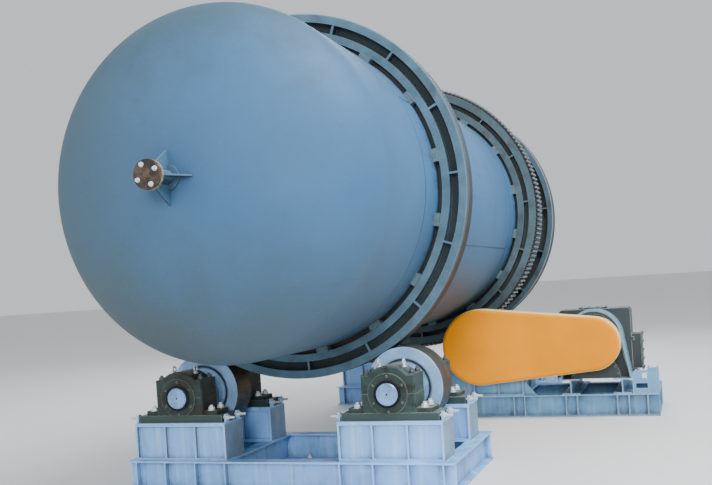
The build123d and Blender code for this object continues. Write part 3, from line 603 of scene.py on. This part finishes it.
def bearing_finish(name, centre, brown):
    """Dark green housing, black with oil round the shaft, with a lighter dusty edge on its cover
    ring that is also a painted highlight.
    """
    green = shade(bearing_green, 1.50)
    # The housing's lighter dusty top is also a painted highlight
    finish = painted(name, green, dirt=0.60, wear=0.70, specular=0.20, edge=0.006, top_dust_and_shading=0.75)
    radius = finish.radius_from(centre)
    blotches = finish.noise(11.0, 5.0, 0.65)
    tone = finish.mix(finish.tone(), faded_green, blotches.rise(0.50, 0.72) * 0.60)
    tone = finish.mix(tone, old_oil, blotches.fall(0.36, 0.50) * 0.70)
    tone = finish.mix(tone, brown_oil, finish.clouds(5.0).rise(0.30, 0.60) * brown)
    at_shaft = radius.between(0.080, 0.107, 0.003) * 0.95
    on_cover = radius.between(0.107, 0.150, 0.012) * 0.20
    tone = finish.mix(tone, wet_oil, at_shaft + on_cover)
    # A thin ring on the cover is lightened: dusty, and a painted highlight of a raised edge
    cover_edge_highlight = radius.between(0.1525, 0.1585, 0.001) * finish.grain(60.0).rise(0.30, 0.60)
    finish.set("Base Color", finish.mix(tone, cover_ring_dust_and_highlight, cover_edge_highlight * 0.7))
    return finish


def guard_finish():
    """Orange paint on the guard's flat sides, a little scratched, with a cream painted highlight
    round its edge.
    """
    finish = Finish("guard_paint", specular=0.05)
    broad = finish.broad(1.2)
    fine = finish.grain(55.0)
    specks = finish.noise(150.0, 3.0, 0.7)
    scratches = finish.noise(14.0, 3.0, 0.6, finish.stretched((0.8, 3.0, 9.0), (0.0, 0.5, 0.0)))
    tone = finish.mottled(guard_orange, 0.90, 1.08, broad.rise(0.35, 0.65))
    tone = finish.mix(tone, shade(guard_orange, 0.74), fine.rise(0.50, 0.8) * 0.4)
    tone = finish.mix(tone, guard_yellow, specks.rise(0.50, 0.75) * 0.35)
    tone = finish.mix(tone, cream_scratch_and_highlight, scratches.rise(0.70, 0.82) * 0.08)
    # Faces that don't look along Y, round the guard's edge, get a cream painted highlight
    edge = finish.facing()[1].size().fall(0.50, 0.64)
    tone = finish.mix(tone, cream_scratch_and_highlight, edge * 0.85)
    tone = finish.mix(tone, dirt_brown, finish.clouds(5.0).rise(0.58, 0.80) * edge * 0.5)
    finish.set("Base Color", tone)
    finish.set("Roughness", broad * 0.15 + fine * 0.15 + 0.38)
    finish.bump(broad * 2.0 + fine * 0.08, 0.25, 0.004)
    return finish


def reducer_finish():
    """Dark casing with pale edges, partly worn and partly painted highlights, behind a hood that is
    pale outside and dark in its recess.
    """
    finish = painted(
        "reducer_paint", reducer_blue, dirt=0.35, wear=0.9, roughness=0.45, edge=0.010, top_dust_and_shading=0.4
    )
    x, y, z = finish.axes()
    across = (x - reducer_x).size()
    above_arch = (z - hood_z).above(0.0)
    below_arch = ((hood_z - z) / (hood_z - reducer_base)).above(0.0).below(1.0)
    from_arch = (across * across + above_arch * above_arch) ** 0.5
    outside = (from_arch - below_arch * 0.0885).rise(0.268, 0.277)
    hood = outside * y.fall(casing_y - 0.004, casing_y - 0.002)
    pale = finish.mottled(hood_blue, 0.75, 1.2, finish.grain(50.0).rise(0.3, 0.7))
    pale = finish.mix(pale, dirt_brown, finish.clouds(6.0).rise(0.50, 0.75) * 0.4)
    finish.set("Base Color", finish.mix(finish.tone(), pale, hood))
    return finish


def turned_steel(name, centre, colour=bare_steel):
    """Machined steel with fine turning rings about its own axis, some oil stain, and a dark dot
    painted as the shade of its centre hole.
    """
    finish = Finish(name, metallic=0.55)
    radius = finish.radius_from(centre)
    cloudy = finish.patches(14.0)
    tone = finish.mottled(colour, 0.8, 1.2, cloudy.rise(0.3, 0.7))
    tone = finish.mix(tone, oil_stain, finish.patches(9.0).rise(0.55, 0.8) * 0.5)
    centre_hole_shade = radius.fall(0.005, 0.009)
    finish.set("Base Color", finish.mix(tone, grease_black, centre_hole_shade))
    finish.set("Roughness", cloudy * 0.2 + 0.26)
    finish.bump((radius * 1300.0).wave(), 0.08, 0.0006)
    return finish


def rusted():
    """Scaled brown rust with darker pits."""
    finish = Finish("rusty_steel")
    patches = finish.noise(22.0, 6.0, 0.65)
    pits = finish.noise(120.0, 3.0, 0.6)
    tone = finish.mix(*cover_rust, patches.rise(0.35, 0.68))
    finish.set("Base Color", finish.mix(tone, rust_pit, pits.rise(0.52, 0.70) * 0.7))
    finish.set("Roughness", patches * 0.2 + 0.72)
    finish.bump(patches + pits * 0.6, 0.5, 0.002)
    return finish


def plated(name, colour, metallic):
    """Plated metal of fasteners, slightly dull."""
    finish = Finish(name, metallic)
    cloudy = finish.patches(90.0)
    finish.set("Base Color", finish.mottled(colour, 0.75, 1.0, cloudy.rise(0.3, 0.7)))
    finish.set("Roughness", cloudy * 0.25 + 0.25)
    finish.bump(cloudy, 0.1, 0.0008)
    return finish


# Frame paint: painted shade on upward faces and upright sides, pale streaks and pale edges as
# painted highlights
frame_paint = painted(
    "frame_paint",
    frame_blue,
    dirt=0.55,
    wear=0.9,
    edge=0.009,
    edge_colour=frame_edge_wear_and_highlight,
    top_dust_and_shading=0.9,
    top_dust_and_shading_colour=frame_top_shade,
    low=-0.15,
    highlight_streaks=0.32,
    side_shade=0.72,
)
# Skid paint: painted shade on upward faces, pale streaks and pale edges as painted highlights
skid_paint = painted(
    "skid_paint",
    skid_blue,
    dirt=0.60,
    wear=0.9,
    edge=0.012,
    edge_colour=skid_edge_wear_and_highlight,
    top_dust_and_shading=0.8,
    top_dust_and_shading_colour=skid_top_shade,
    low=-0.1,
    highlight_streaks=0.22,
)
sole_paint = painted(
    "sole_paint", sole_green, dirt=0.75, wear=1.0, roughness=0.45, edge=0.006, top_dust_and_shading=0.5
)
bearing_paint = painted(
    "bearing_paint", bearing_green, dirt=0.25, wear=0.55, roughness=0.42, edge=0.005, top_dust_and_shading=0.75
)
fitting_blue = shade(reducer_blue, 1.3)
fitting_paint = painted("fitting_paint", fitting_blue, dirt=0.3, wear=0.8, roughness=0.45)
motor_paint = painted("motor_paint", motor_blue, dirt=0.3, wear=0.6, roughness=0.45)
coupling_paint = painted("coupling_steel", dark_steel, dirt=0.3, wear=0.4, roughness=0.4)
weld_paint = painted("weld_paint", shade(vessel_blue, 0.42), dirt=0.5, top_dust_and_shading=0.0)
opening_shade_paint = painted("opening_shade_paint", opening_shade_black, dirt=0.2, roughness=0.7)
oil_glass = painted("oil_glass", oil_amber, dirt=0.1, roughness=0.15, top_dust_and_shading=0.0)
gear_paint = gear_finish(
    "gear_paint", gear_blue, drum_centre, gear_root_r, gear_tip_r, "girth_gear"
)
pinion_metal = gear_finish(
    "pinion_metal", dark_steel, shafts["pinion"], pinion_root_r, pinion_tip_r
)
zinc_plate = plated("zinc_plate", zinc_white, 0.35)
dark_bolt = plated("dark_bolt", bolt_grey, 0.5)


# CAD nodes and their finishes
def dress(finish, *nodes):
    for node in nodes:
        for holder in frame["nodes"][node].material_slots:
            holder.material = finish.material


dress(vessel_finish(), "shell", "front_head", "rear_head")
dress(nozzle_finish(), "front_nozzle", "rear_nozzle")
dress(rusted(), "front_nozzle_cover", "rear_nozzle_cover")
dress(tyre_finish("front_tyre", tyre_blue, 0.0, 0.15), "front_tyre")
# The rear tyre is a darker, greasier copy: grease and painted shade on its near face
dress(tyre_finish("rear_tyre", shade(tyre_blue, 0.92), 0.42, 1.0), "rear_tyre")
dress(gear_paint, "girth_gear")
dress(pinion_metal, "pinion")
dress(turned_steel("pinion_shaft_steel", shafts["pinion"]), "pinion_shaft")
dress(sole_paint, "front_sole_plates", "rear_sole_plates", "pinion_sole_plates")
dress(frame_paint, "front_frame", "rear_frame")
dress(skid_paint, "drive_skid", "pinion_pedestals", "end_stand", "guard_spacers")
dress(skid_paint, "reducer_bearers", "motor_stool")
dress(guard_finish(), "chain_guard")
dress(reducer_finish(), "reducer")
dress(motor_paint, "drive_motor")
dress(coupling_paint, "motor_coupling")
for node in ("front_tyre_pads", "rear_tyre_pads", "gear_pads"):
    dress(pads_finish(node), node)
for place in roller_places:
    roller = place + "_roller"
    steel = turned_steel(roller + "_shaft_steel", shafts[place], shaft_blue)
    dress(roller_finish(roller, shafts[place]), roller)
    dress(steel, place + "_shaft")
    dress(frame_paint, place + "_pedestals")
for side, shaft, brown in (
    ("left", shafts["front_left"], 0.65),
    ("right", shafts["front_right"], 0.15),
    ("pinion", shafts["pinion"], 0.15),
):
    housing_paint = bearing_finish(side + "_bearing_paint", shaft, brown)
    dress(housing_paint, *[name for name in bearings if side in name])


# Building blocks for new pieces
def finished(bm, name, finish, body="frame", smooth=False):
    """Makes the bmesh a piece that rides on a body."""
    bmesh.ops.recalc_face_normals(bm, faces=bm.faces)
    mesh = bpy.data.meshes.new(name)
    bm.to_mesh(mesh)
    bm.free()
    mesh.materials.append(finish.material)
    for face in mesh.polygons:
        face.use_smooth = smooth
    piece = bpy.data.objects.new(name, mesh)
    bpy.context.scene.collection.objects.link(piece)
    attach(piece, body)


def at(point, direction):
    """A place at a point, with its +Z along the direction."""
    turn = Vector(direction).to_track_quat("Z", "Y").to_matrix().to_4x4()
    return Matrix.Translation(Vector(point)) @ turn


def lifted(place, height):
    return place @ Matrix.Translation((0, 0, height))


def row(start, step, count):
    """Evenly spaced numbers."""
    return [start + k * step for k in range(count)]


def both(middle, reach):
    """The two numbers on either side of a middle."""
    return (middle - reach, middle + reach)


def grid(xs, ys, zs, direction):
    """A place wherever the given coordinates cross."""
    return [at((x, y, z), direction) for x in xs for y in ys for z in zs]


def step_out(radius, angle):
    """A step away from an axis along Y."""
    return Vector((radius * math.cos(angle), 0, radius * math.sin(angle)))


def ring_places(centre, direction, radius, count, phase=0.0):
    """Places round a circle, each with its +Z along the direction."""
    middle = at(centre, direction)
    angles = row(phase, 2 * math.pi / count, count)
    steps = [Vector((radius * math.cos(angle), radius * math.sin(angle), 0)) for angle in angles]
    return [middle @ Matrix.Translation(step) for step in steps]


def disc(bm, place, radius, height, sides, taper=1.0):
    """A straight or tapered disc that stands on its place, along the place's own +Z."""
    made = bmesh.ops.create_cone(
        bm,
        cap_ends=True,
        segments=sides,
        radius1=radius,
        radius2=radius * taper,
        depth=height,
        matrix=lifted(place, height / 2),
    )
    return made["verts"]


def rod(bm, start, end, radius):
    """A straight round bar or weld bead."""
    disc(bm, at(start, end - start), radius, (end - start).length, 8)


def bevel(bm, edges, offset, segments):
    bmesh.ops.bevel(
        bm,
        geom=edges,
        offset=offset,
        segments=segments,
        profile=0.5,
        affect="EDGES",
        material=-1,
    )


def full_spin(bm, corners, edges, centre, axis, steps):
    bmesh.ops.spin(
        bm,
        geom=corners + edges,
        cent=centre,
        axis=axis,
        angle=2 * math.pi,
        steps=steps,
        use_merge=True,
    )


def edges_at(corners):
    """The edges that meet at the corners, each once and always in the same order."""
    return list(dict.fromkeys(edge for corner in corners for edge in corner.link_edges))


def bent_ring(bm, place, radius, thick, steps):
    """A round bar bent to a ring about the place's own Z."""
    section = place @ Matrix.Translation((radius, 0, 0)) @ Matrix.Rotation(math.pi / 2, 4, "X")
    loop = bmesh.ops.create_circle(bm, cap_ends=False, segments=8, radius=thick, matrix=section)
    axis = place.to_3x3() @ Vector((0, 0, 1))
    full_spin(bm, loop["verts"], edges_at(loop["verts"]), place.translation, axis, steps)


def plate(name, finish, place, size, edge=0.004):
    """A rectangular plate or box with softened edges that stands on its place."""
    bm = bmesh.new()
    shape = lifted(place, size[2] / 2) @ Matrix.Diagonal((*size, 1))
    bmesh.ops.create_cube(bm, size=1.0, matrix=shape)
    bevel(bm, bm.edges[:], min(edge, size[2] * 0.4), 2)
    finished(bm, name, finish)


def round_piece(name, finish, place, radius, height, sides, taper=1.0):
    bm = bmesh.new()
    disc(bm, place, radius, height, sides, taper)
    finished(bm, name, finish)


def hex_head(bm, place, radius, height):
    """A hexagon with its upper rim bevelled."""
    corners = disc(bm, place, radius, height, 6)
    to_place = place.inverted()
    rim = [
        edge
        for edge in edges_at(corners)
        if all((to_place @ end.co).z > height / 2 for end in edge.verts)
    ]
    bevel(bm, rim, radius * 0.12, 1)


def bolt(bm, place, size, stud=0.0):
    """Washer, hexagon and, where it has one, the end of its stud. Size is the thread's diameter."""
    disc(bm, place, size * 1.05, size * 0.16, 16)
    hex_head(bm, lifted(place, size * 0.14), size * 0.87, size * 0.8)
    if stud > 0:
        disc(bm, place, size * 0.5, size * 0.9 + stud, 10, 0.94)


def bolts(name, finish, places, size, stud=0.0, body="frame"):
    bm = bmesh.new()
    for place in places:
        bolt(bm, place, size, stud)
    finished(bm, name, finish, body)


def eye_bolt(bm, place, size):
    """A lifting eye on a shank, with its ring standing across X."""
    disc(bm, place, size * 0.55, size * 0.45, 12)
    standing = lifted(place, size * 1.15) @ Matrix.Rotation(math.pi / 2, 4, "Y")
    bent_ring(bm, standing, size * 0.62, size * 0.2, 20)


# Weld beads on the vessel: round seams, and long seams between them
mid_seam_y = 3.591
long_seam_angle = math.radians(-21.0)
bead_width = 0.011
bead_height = 0.003
bead_root = 0.001


def round_seam(bm, y):
    crown = bead_height * 0.8
    edge, shoulder = bead_width / 2, bead_width / 4
    section = ((-edge, -bead_root), (-shoulder, crown), (shoulder, crown), (edge, -bead_root))
    start = drum_centre + Vector((shell_r, 0, 0))
    corners = [bm.verts.new((start.x + up, y + along, start.z)) for along, up in section]
    edges = [bm.edges.new(pair) for pair in zip(corners, corners[1:])]
    full_spin(bm, corners, edges, (drum_centre.x, y, drum_centre.z), (0, 1, 0), 160)


def vessel_seams():
    bm = bmesh.new()
    for y in (front_seam_y, mid_seam_y, rear_seam_y):
        round_seam(bm, y)
    for start, end, angle in (
        (front_tyre_high.y + 0.16, mid_seam_y, long_seam_angle),
        (front_seam_y, front_tyre_low.y - 0.04, long_seam_angle + 0.9),
        (mid_seam_y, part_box("gear_pads")[0].y - 0.01, long_seam_angle + 1.2),
    ):
        root = drum_centre + step_out(shell_r - bead_root, angle)
        rod(bm, Vector((root.x, start, root.z)), Vector((root.x, end, root.z)), bead_width * 0.4)
    finished(bm, "vessel_seams", weld_paint, "drum", True)


def nozzle_bolts():
    """Four bolts through cover and flange at each end of the vessel."""
    circle_r = 0.069
    phase = math.radians(26.0)
    cover_and_flange = 0.046
    thread = 0.0155
    for end, out in (("front", -1), ("rear", 1)):
        low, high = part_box(end + "_nozzle_cover")
        outer_y = low.y if out < 0 else high.y
        heads, nuts = [], []
        for angle in row(phase, math.pi / 2, 4):
            point = Vector((0, outer_y, drum_centre.z)) + step_out(circle_r, angle)
            heads.append(at(point, (0, out, 0)))
            point.y = outer_y - out * cover_and_flange
            nuts.append(at(point, (0, -out, 0)))
        bolts(end + "_nozzle_bolt_heads", zinc_plate, heads, thread, stud=0.006, body="drum")
        bolts(end + "_nozzle_nuts", zinc_plate, nuts, thread, stud=0.012, body="drum")


def bearing_fittings():
    """Cap bolts on the shoulders, foot bolts, lifting eyes on the round cap, and cover bolts."""
    cap_bolt_x, cap_bolt_y = 0.182, 0.072
    foot_bolt_x, foot_bolt_y = 0.268, 0.074
    shoulder_up = 0.146
    foot_down = 0.109
    cap_r = 0.213
    eye_x = 0.1
    eye_up = math.sqrt(cap_r ** 2 - eye_x ** 2) - 0.004
    cover_circle_r = 0.132
    cover_lip = 0.010
    caps, feet, covers, eyes = bmesh.new(), bmesh.new(), bmesh.new(), bmesh.new()
    for name, shaft in bearings.items():
        low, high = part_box(name)
        x, y, _ = middle_of(name)
        z = shaft.z
        for place in grid(both(x, cap_bolt_x), both(y, cap_bolt_y), [z + shoulder_up], upwards):
            bolt(caps, place, size=0.026, stud=0.014)
        for place in grid(both(x, foot_bolt_x), both(y, foot_bolt_y), [z - foot_down], upwards):
            bolt(feet, place, size=0.030, stud=0.016)
        for place in grid(both(x, eye_x), [y], [z + eye_up], upwards):
            eye_bolt(eyes, place, size=0.036)
        for end_y, facing in ((low.y + cover_lip, forwards), (high.y - cover_lip, backwards)):
            end = (x, end_y, z)
            for place in ring_places(end, facing, cover_circle_r, 6, math.radians(30)):
                bolt(covers, place, size=0.010)
    finished(caps, "bearing_cap_bolts", dark_bolt)
    finished(feet, "bearing_foot_bolts", zinc_plate)
    finished(covers, "bearing_cover_bolts", bearing_paint)
    finished(eyes, "bearing_eye_bolts", zinc_plate, smooth=True)


def jack_bolts():
    """Bolts through the pedestals' ears that push against the sole plates."""
    bm = bmesh.new()
    for name in bearings:
        x, y, _ = middle_of(name)
        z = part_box(name)[0].z - 0.023
        for side in (-1, 1):
            face = x + side * 0.417
            for bolt_y in both(y, 0.096):
                bolt(bm, at((face, bolt_y, z), (side, 0, 0)), size=0.022, stud=0.045)
                end = (face - side * 0.016, bolt_y, z)
                disc(bm, at(end, (-side, 0, 0)), 0.0105, 0.0145, 12)
    finished(bm, "jack_bolts", zinc_plate)


def reducer_bolts():
    """Bolts of the casing's joint and foot, of its side cover and of the stage cover."""
    joint_top = [reducer_z + 0.030]
    joint_x = 0.392
    left_row = row(casing_y + 0.035, 0.065, 5)
    right_row = row(casing_y + 0.240, 0.050, 2)
    places = grid([reducer_x - joint_x], left_row, joint_top, upwards)
    places = places + grid([reducer_x + joint_x], right_row, joint_top, upwards)
    bolts("reducer_joint_bolts", dark_bolt, places, size=0.012, stud=0.004)

    foot_top = [reducer_base + 0.040]
    places = grid(both(reducer_x, 0.405), row(casing_y + 0.045, 0.125, 3), foot_top, upwards)
    bolts("reducer_foot_bolts", zinc_plate, places, size=0.022, stud=0.010)

    inset = 0.018
    face = [reducer_high.x]
    near_y, far_y = casing_y + 0.006 + inset, casing_y + 0.214 - inset
    low_z, high_z = reducer_base + 0.068 + inset, reducer_base + 0.474 - inset
    places = grid(face, (near_y, far_y), row(low_z, (high_z - low_z) / 4, 5), rightwards)
    places = places + grid(face, [(near_y + far_y) / 2], (low_z, high_z), rightwards)
    bolts("side_cover_bolts", dark_bolt, places, size=0.012)

    stage_cover = Vector((reducer_x, hood_y + 0.030, reducer_base))
    angles = [math.radians(degrees) for degrees in row(12.0, 19.5, 9)]
    places = [at(stage_cover + step_out(0.238, angle), forwards) for angle in angles]
    bolts("stage_cover_bolts", dark_bolt, places, size=0.014)


def inspection_cover():
    x, y, z = reducer_x - 0.02, (casing_y + casing_rear_y) / 2, reducer_high.z
    size = (0.30, 0.20, 0.009)
    plate("inspection_cover", fitting_paint, Matrix.Translation((x, y, z)), size)
    places = grid(row(x - 0.135, 0.090, 4), both(y, 0.086), [z + size[2]], upwards)
    bolts("inspection_cover_bolts", dark_bolt, places, size=0.008)


def reducer_rear():
    """End caps of two shafts, oil gauge and drain plug on the casing's rear."""
    cap_thick = 0.012
    small_cap = Vector((reducer_x + 0.140, casing_rear_y, reducer_z - 0.060))
    large_cap = Vector((reducer_x - 0.170, casing_rear_y, reducer_z - 0.060))
    bm = bmesh.new()
    disc(bm, at(small_cap, backwards), 0.085, cap_thick, 40)
    disc(bm, at(large_cap, backwards), 0.105, cap_thick, 40)
    finished(bm, "reducer_end_caps", fitting_paint)
    cap_face = large_cap + Vector((0, cap_thick, 0))
    places = ring_places(cap_face, backwards, 0.088, 6)
    bolts("reducer_end_cap_bolts", dark_bolt, places, size=0.010)

    oil_x = reducer_x - 0.300
    gauge = at((oil_x, casing_rear_y, reducer_z - 0.170), backwards)
    plug = at((oil_x, casing_rear_y, reducer_base + 0.075), backwards)
    bm = bmesh.new()
    disc(bm, gauge, 0.026, 0.012, 24)
    hex_head(bm, plug, 0.020, 0.014)
    disc(bm, plug, 0.025, 0.003, 20)
    finished(bm, "oil_gauge_and_plug", zinc_plate)
    round_piece("oil_gauge_glass", oil_glass, lifted(gauge, 0.0121), 0.018, 0.001, 24)


def motor_fan():
    """Grille, hub and screws of the fan cowl, with a black disc as painted shade in its opening."""
    rear = Vector((motor_x, motor_high.y, motor_z))
    grille = rear + Vector((0, 0.006, 0))
    bm = bmesh.new()
    for radius in (0.045, 0.080, 0.115, 0.150):
        bent_ring(bm, at(grille, backwards), radius, 0.0035, 48)
    for angle in row(0.0, math.pi / 8, 8):
        reach = step_out(0.165, angle)
        rod(bm, grille - reach, grille + reach, 0.003)
    finished(bm, "fan_grille", dark_bolt, smooth=True)
    opening_place = lifted(at(rear, backwards), -0.001)
    hub_place = lifted(at(rear, backwards), 0.002)
    round_piece("fan_opening", opening_shade_paint, opening_place, 0.166, 0.003, 48)
    round_piece("fan_hub", motor_paint, hub_place, 0.034, 0.010, 24, 0.9)
    screw_ring = rear - Vector((0, 0.030, 0))
    angles = row(math.radians(45), math.pi / 2, 4)
    places = [at(screw_ring + step_out(cowl_r, angle), step_out(1.0, angle)) for angle in angles]
    bolts("fan_cowl_screws", dark_bolt, places, size=0.008)


def terminal_box():
    """Box with lid, screws and two cable glands on the motor's left side."""
    box_size = (0.120, 0.150, 0.085)
    lid_size = (0.128, 0.158, 0.010)
    y, z = motor_middle_y, motor_z + 0.035
    box_x = motor_x - 0.176
    lid_x = box_x - box_size[2] + 0.0005
    sideways = Matrix.Rotation(-math.pi / 2, 4, "Y")
    box_place = Matrix.Translation((box_x, y, z)) @ sideways
    lid_place = Matrix.Translation((lid_x, y, z)) @ sideways
    plate("terminal_box", motor_paint, box_place, box_size, 0.006)
    plate("terminal_box_lid", motor_paint, lid_place, lid_size, 0.003)
    places = grid([lid_x - lid_size[2]], both(y, 0.068), both(z, 0.052), leftwards)
    bolts("terminal_box_screws", zinc_plate, places, size=0.006)
    bm = bmesh.new()
    for gland in grid([motor_x - 0.222], both(y, 0.030), [z - 0.059], downwards):
        hex_head(bm, gland, 0.016, 0.014)
        disc(bm, lifted(gland, 0.012), 0.011, 0.014, 20, 0.85)
    finished(bm, "cable_glands", dark_bolt)


def motor_bolts():
    """Lifting eye, foot bolts, flange bolts and the coupling's bolts."""
    bm = bmesh.new()
    eye_bolt(bm, at((motor_x, motor_middle_y, motor_high.z - 0.014), upwards), size=0.026)
    finished(bm, "motor_eye_bolt", zinc_plate, smooth=True)

    foot_ys = (motor_low.y + 0.085, motor_body_rear_y - 0.085)
    places = grid(both(motor_x, 0.133), foot_ys, [motor_low.z + 0.026], upwards)
    bolts("motor_foot_bolts", zinc_plate, places, size=0.016, stud=0.008)

    flange = (motor_x, motor_low.y + 0.030, motor_z)
    places = ring_places(flange, backwards, 0.186, 8, math.radians(25.7))
    bolts("motor_flange_bolts", dark_bolt, places, size=0.007)

    coupling_y = (casing_rear_y + motor_low.y) / 2
    half_gap = 0.008
    front_half = (motor_x, coupling_y - half_gap, motor_z)
    rear_half = (motor_x, coupling_y + half_gap, motor_z)
    places = ring_places(front_half, backwards, 0.083, 6)
    places = places + ring_places(rear_half, forwards, 0.083, 6, math.radians(30))
    bolts("coupling_bolts", zinc_plate, places, size=0.006)


def anchor_bolts():
    """Anchor bolts on the lower flanges of the frames' and the skid's beams."""
    beam_middle = 0.094
    flange_top = [0.014]
    places = []
    for name in ("front_frame", "rear_frame"):
        low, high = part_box(name)
        xs = (low.x + 0.26, low.x + 0.62, -0.30, 0.30, high.x - 0.62, high.x - 0.26)
        places = places + grid(xs, (low.y + beam_middle, high.y - beam_middle), flange_top, upwards)
    low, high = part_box("drive_skid")
    xs = (low.x + 0.20, low.x + 0.60, high.x - 0.95, high.x - 0.40, high.x - 0.22)
    places = places + grid(xs, [high.y - beam_middle], flange_top, upwards)
    bolts("anchor_bolts", zinc_plate, places, size=0.024, stud=0.016)


def pedestal_welds():
    """Fillet welds round the feet of the pedestals."""
    bead_r = 0.005
    bm = bmesh.new()
    for place in shafts:
        low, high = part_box(place + "_pedestals")
        z = low.z
        left, right = low.x, low.x + pedestal_width
        for near, far in (
            (low.y, low.y + pedestal_length),
            (high.y - pedestal_length, high.y),
        ):
            for y in (near, far):
                rod(bm, Vector((left, y, z)), Vector((right, y, z)), bead_r)
            for x in (left, right):
                rod(bm, Vector((x, near, z)), Vector((x, far, z)), bead_r)
    finished(bm, "pedestal_welds", frame_paint, smooth=True)


# Floor and light
floor_r = 180.0


def studio():
    bm = bmesh.new()
    bmesh.ops.create_circle(bm, cap_ends=True, segments=128, radius=floor_r)
    mesh = bpy.data.meshes.new("floor")
    bm.to_mesh(mesh)
    bm.free()
    floor = bpy.data.objects.new("floor", mesh)
    bpy.context.scene.collection.objects.link(floor)
    pale = Finish("floor_pale")
    pale.set("Base Color", (0.70, 0.70, 0.69, 1.0))
    pale.set("Roughness", 0.8)
    mesh.materials.append(pale.material)

    world = bpy.data.worlds.new("studio")
    bpy.context.scene.world = world
    world.use_nodes = True
    background = world.node_tree.nodes["Background"]
    background.inputs["Color"].default_value = (0.84, 0.88, 0.92, 1.0)
    background.inputs["Strength"].default_value = 0.85

    # Name, place, target, size, power, colour, share of gloss and spread in degrees
    for name, place, target, size, power, colour, gloss, spread in (
        ("key", (6.0, -1.5, 10.5), (0.0, 2.0, 1.5), 7.0, 2200.0, (0.96, 0.98, 1.0), 1.0, 180.0),
        ("fill", (-6.0, -7.5, 5.0), (0.0, 1.0, 1.2), 6.0, 170.0, (0.93, 0.97, 1.0), 1.0, 180.0),
        ("front", (4.6, -18.0, 6.2), (0.6, 0.5, 0.5), 5.0, 275.0, (0.95, 0.98, 1.0), 1.0, 70.0),
        ("rim", (-2.0, 12.0, 8.0), (0.0, 4.0, 2.0), 6.0, 700.0, (0.95, 0.97, 1.0), 0.4, 180.0),
    ):
        lamp = bpy.data.lights.new(name, "AREA")
        lamp.size = size
        lamp.energy = power
        lamp.color = colour
        lamp.specular_factor = gloss
        lamp.spread = math.radians(spread)
        holder = bpy.data.objects.new(name, lamp)
        holder.location = place
        aim = Vector(target) - Vector(place)
        holder.rotation_euler = aim.to_track_quat("-Z", "Y").to_euler()
        bpy.context.scene.collection.objects.link(holder)


# Camera, as solved from the photograph: metres, radians and pixels
camera_place = Vector((3.042, -6.405, 1.577))
camera_yaw = -0.3453
camera_pitch = -0.0199
camera_roll = 0.0635
focal_pixels = 903.01
image_width = 712
image_height = 485
optical_centre = (361.59, 302.89)


def photo_camera():
    flat = math.cos(camera_pitch)
    forward = Vector(
        (math.sin(camera_yaw) * flat, math.cos(camera_yaw) * flat, math.sin(camera_pitch))
    )
    level = Vector((math.cos(camera_yaw), -math.sin(camera_yaw), 0.0))
    down = forward.cross(level)
    right = math.cos(camera_roll) * level + math.sin(camera_roll) * down
    up = math.sin(camera_roll) * level - math.cos(camera_roll) * down
    data = bpy.data.cameras.new("camera")
    data.sensor_width = 36.0
    data.lens = focal_pixels / image_width * data.sensor_width
    data.shift_x = (image_width / 2 - optical_centre[0]) / image_width
    data.shift_y = (optical_centre[1] - image_height / 2) / image_width
    data.clip_end = 200.0
    camera = bpy.data.objects.new("camera", data)
    turn = Matrix((right, up, -forward)).transposed().to_4x4()
    camera.matrix_world = Matrix.Translation(camera_place) @ turn
    bpy.context.scene.collection.objects.link(camera)
    bpy.context.scene.camera = camera


vessel_seams()
nozzle_bolts()
bearing_fittings()
jack_bolts()
reducer_bolts()
inspection_cover()
reducer_rear()
motor_fan()
terminal_box()
motor_bolts()
anchor_bolts()
pedestal_welds()
studio()
photo_camera()
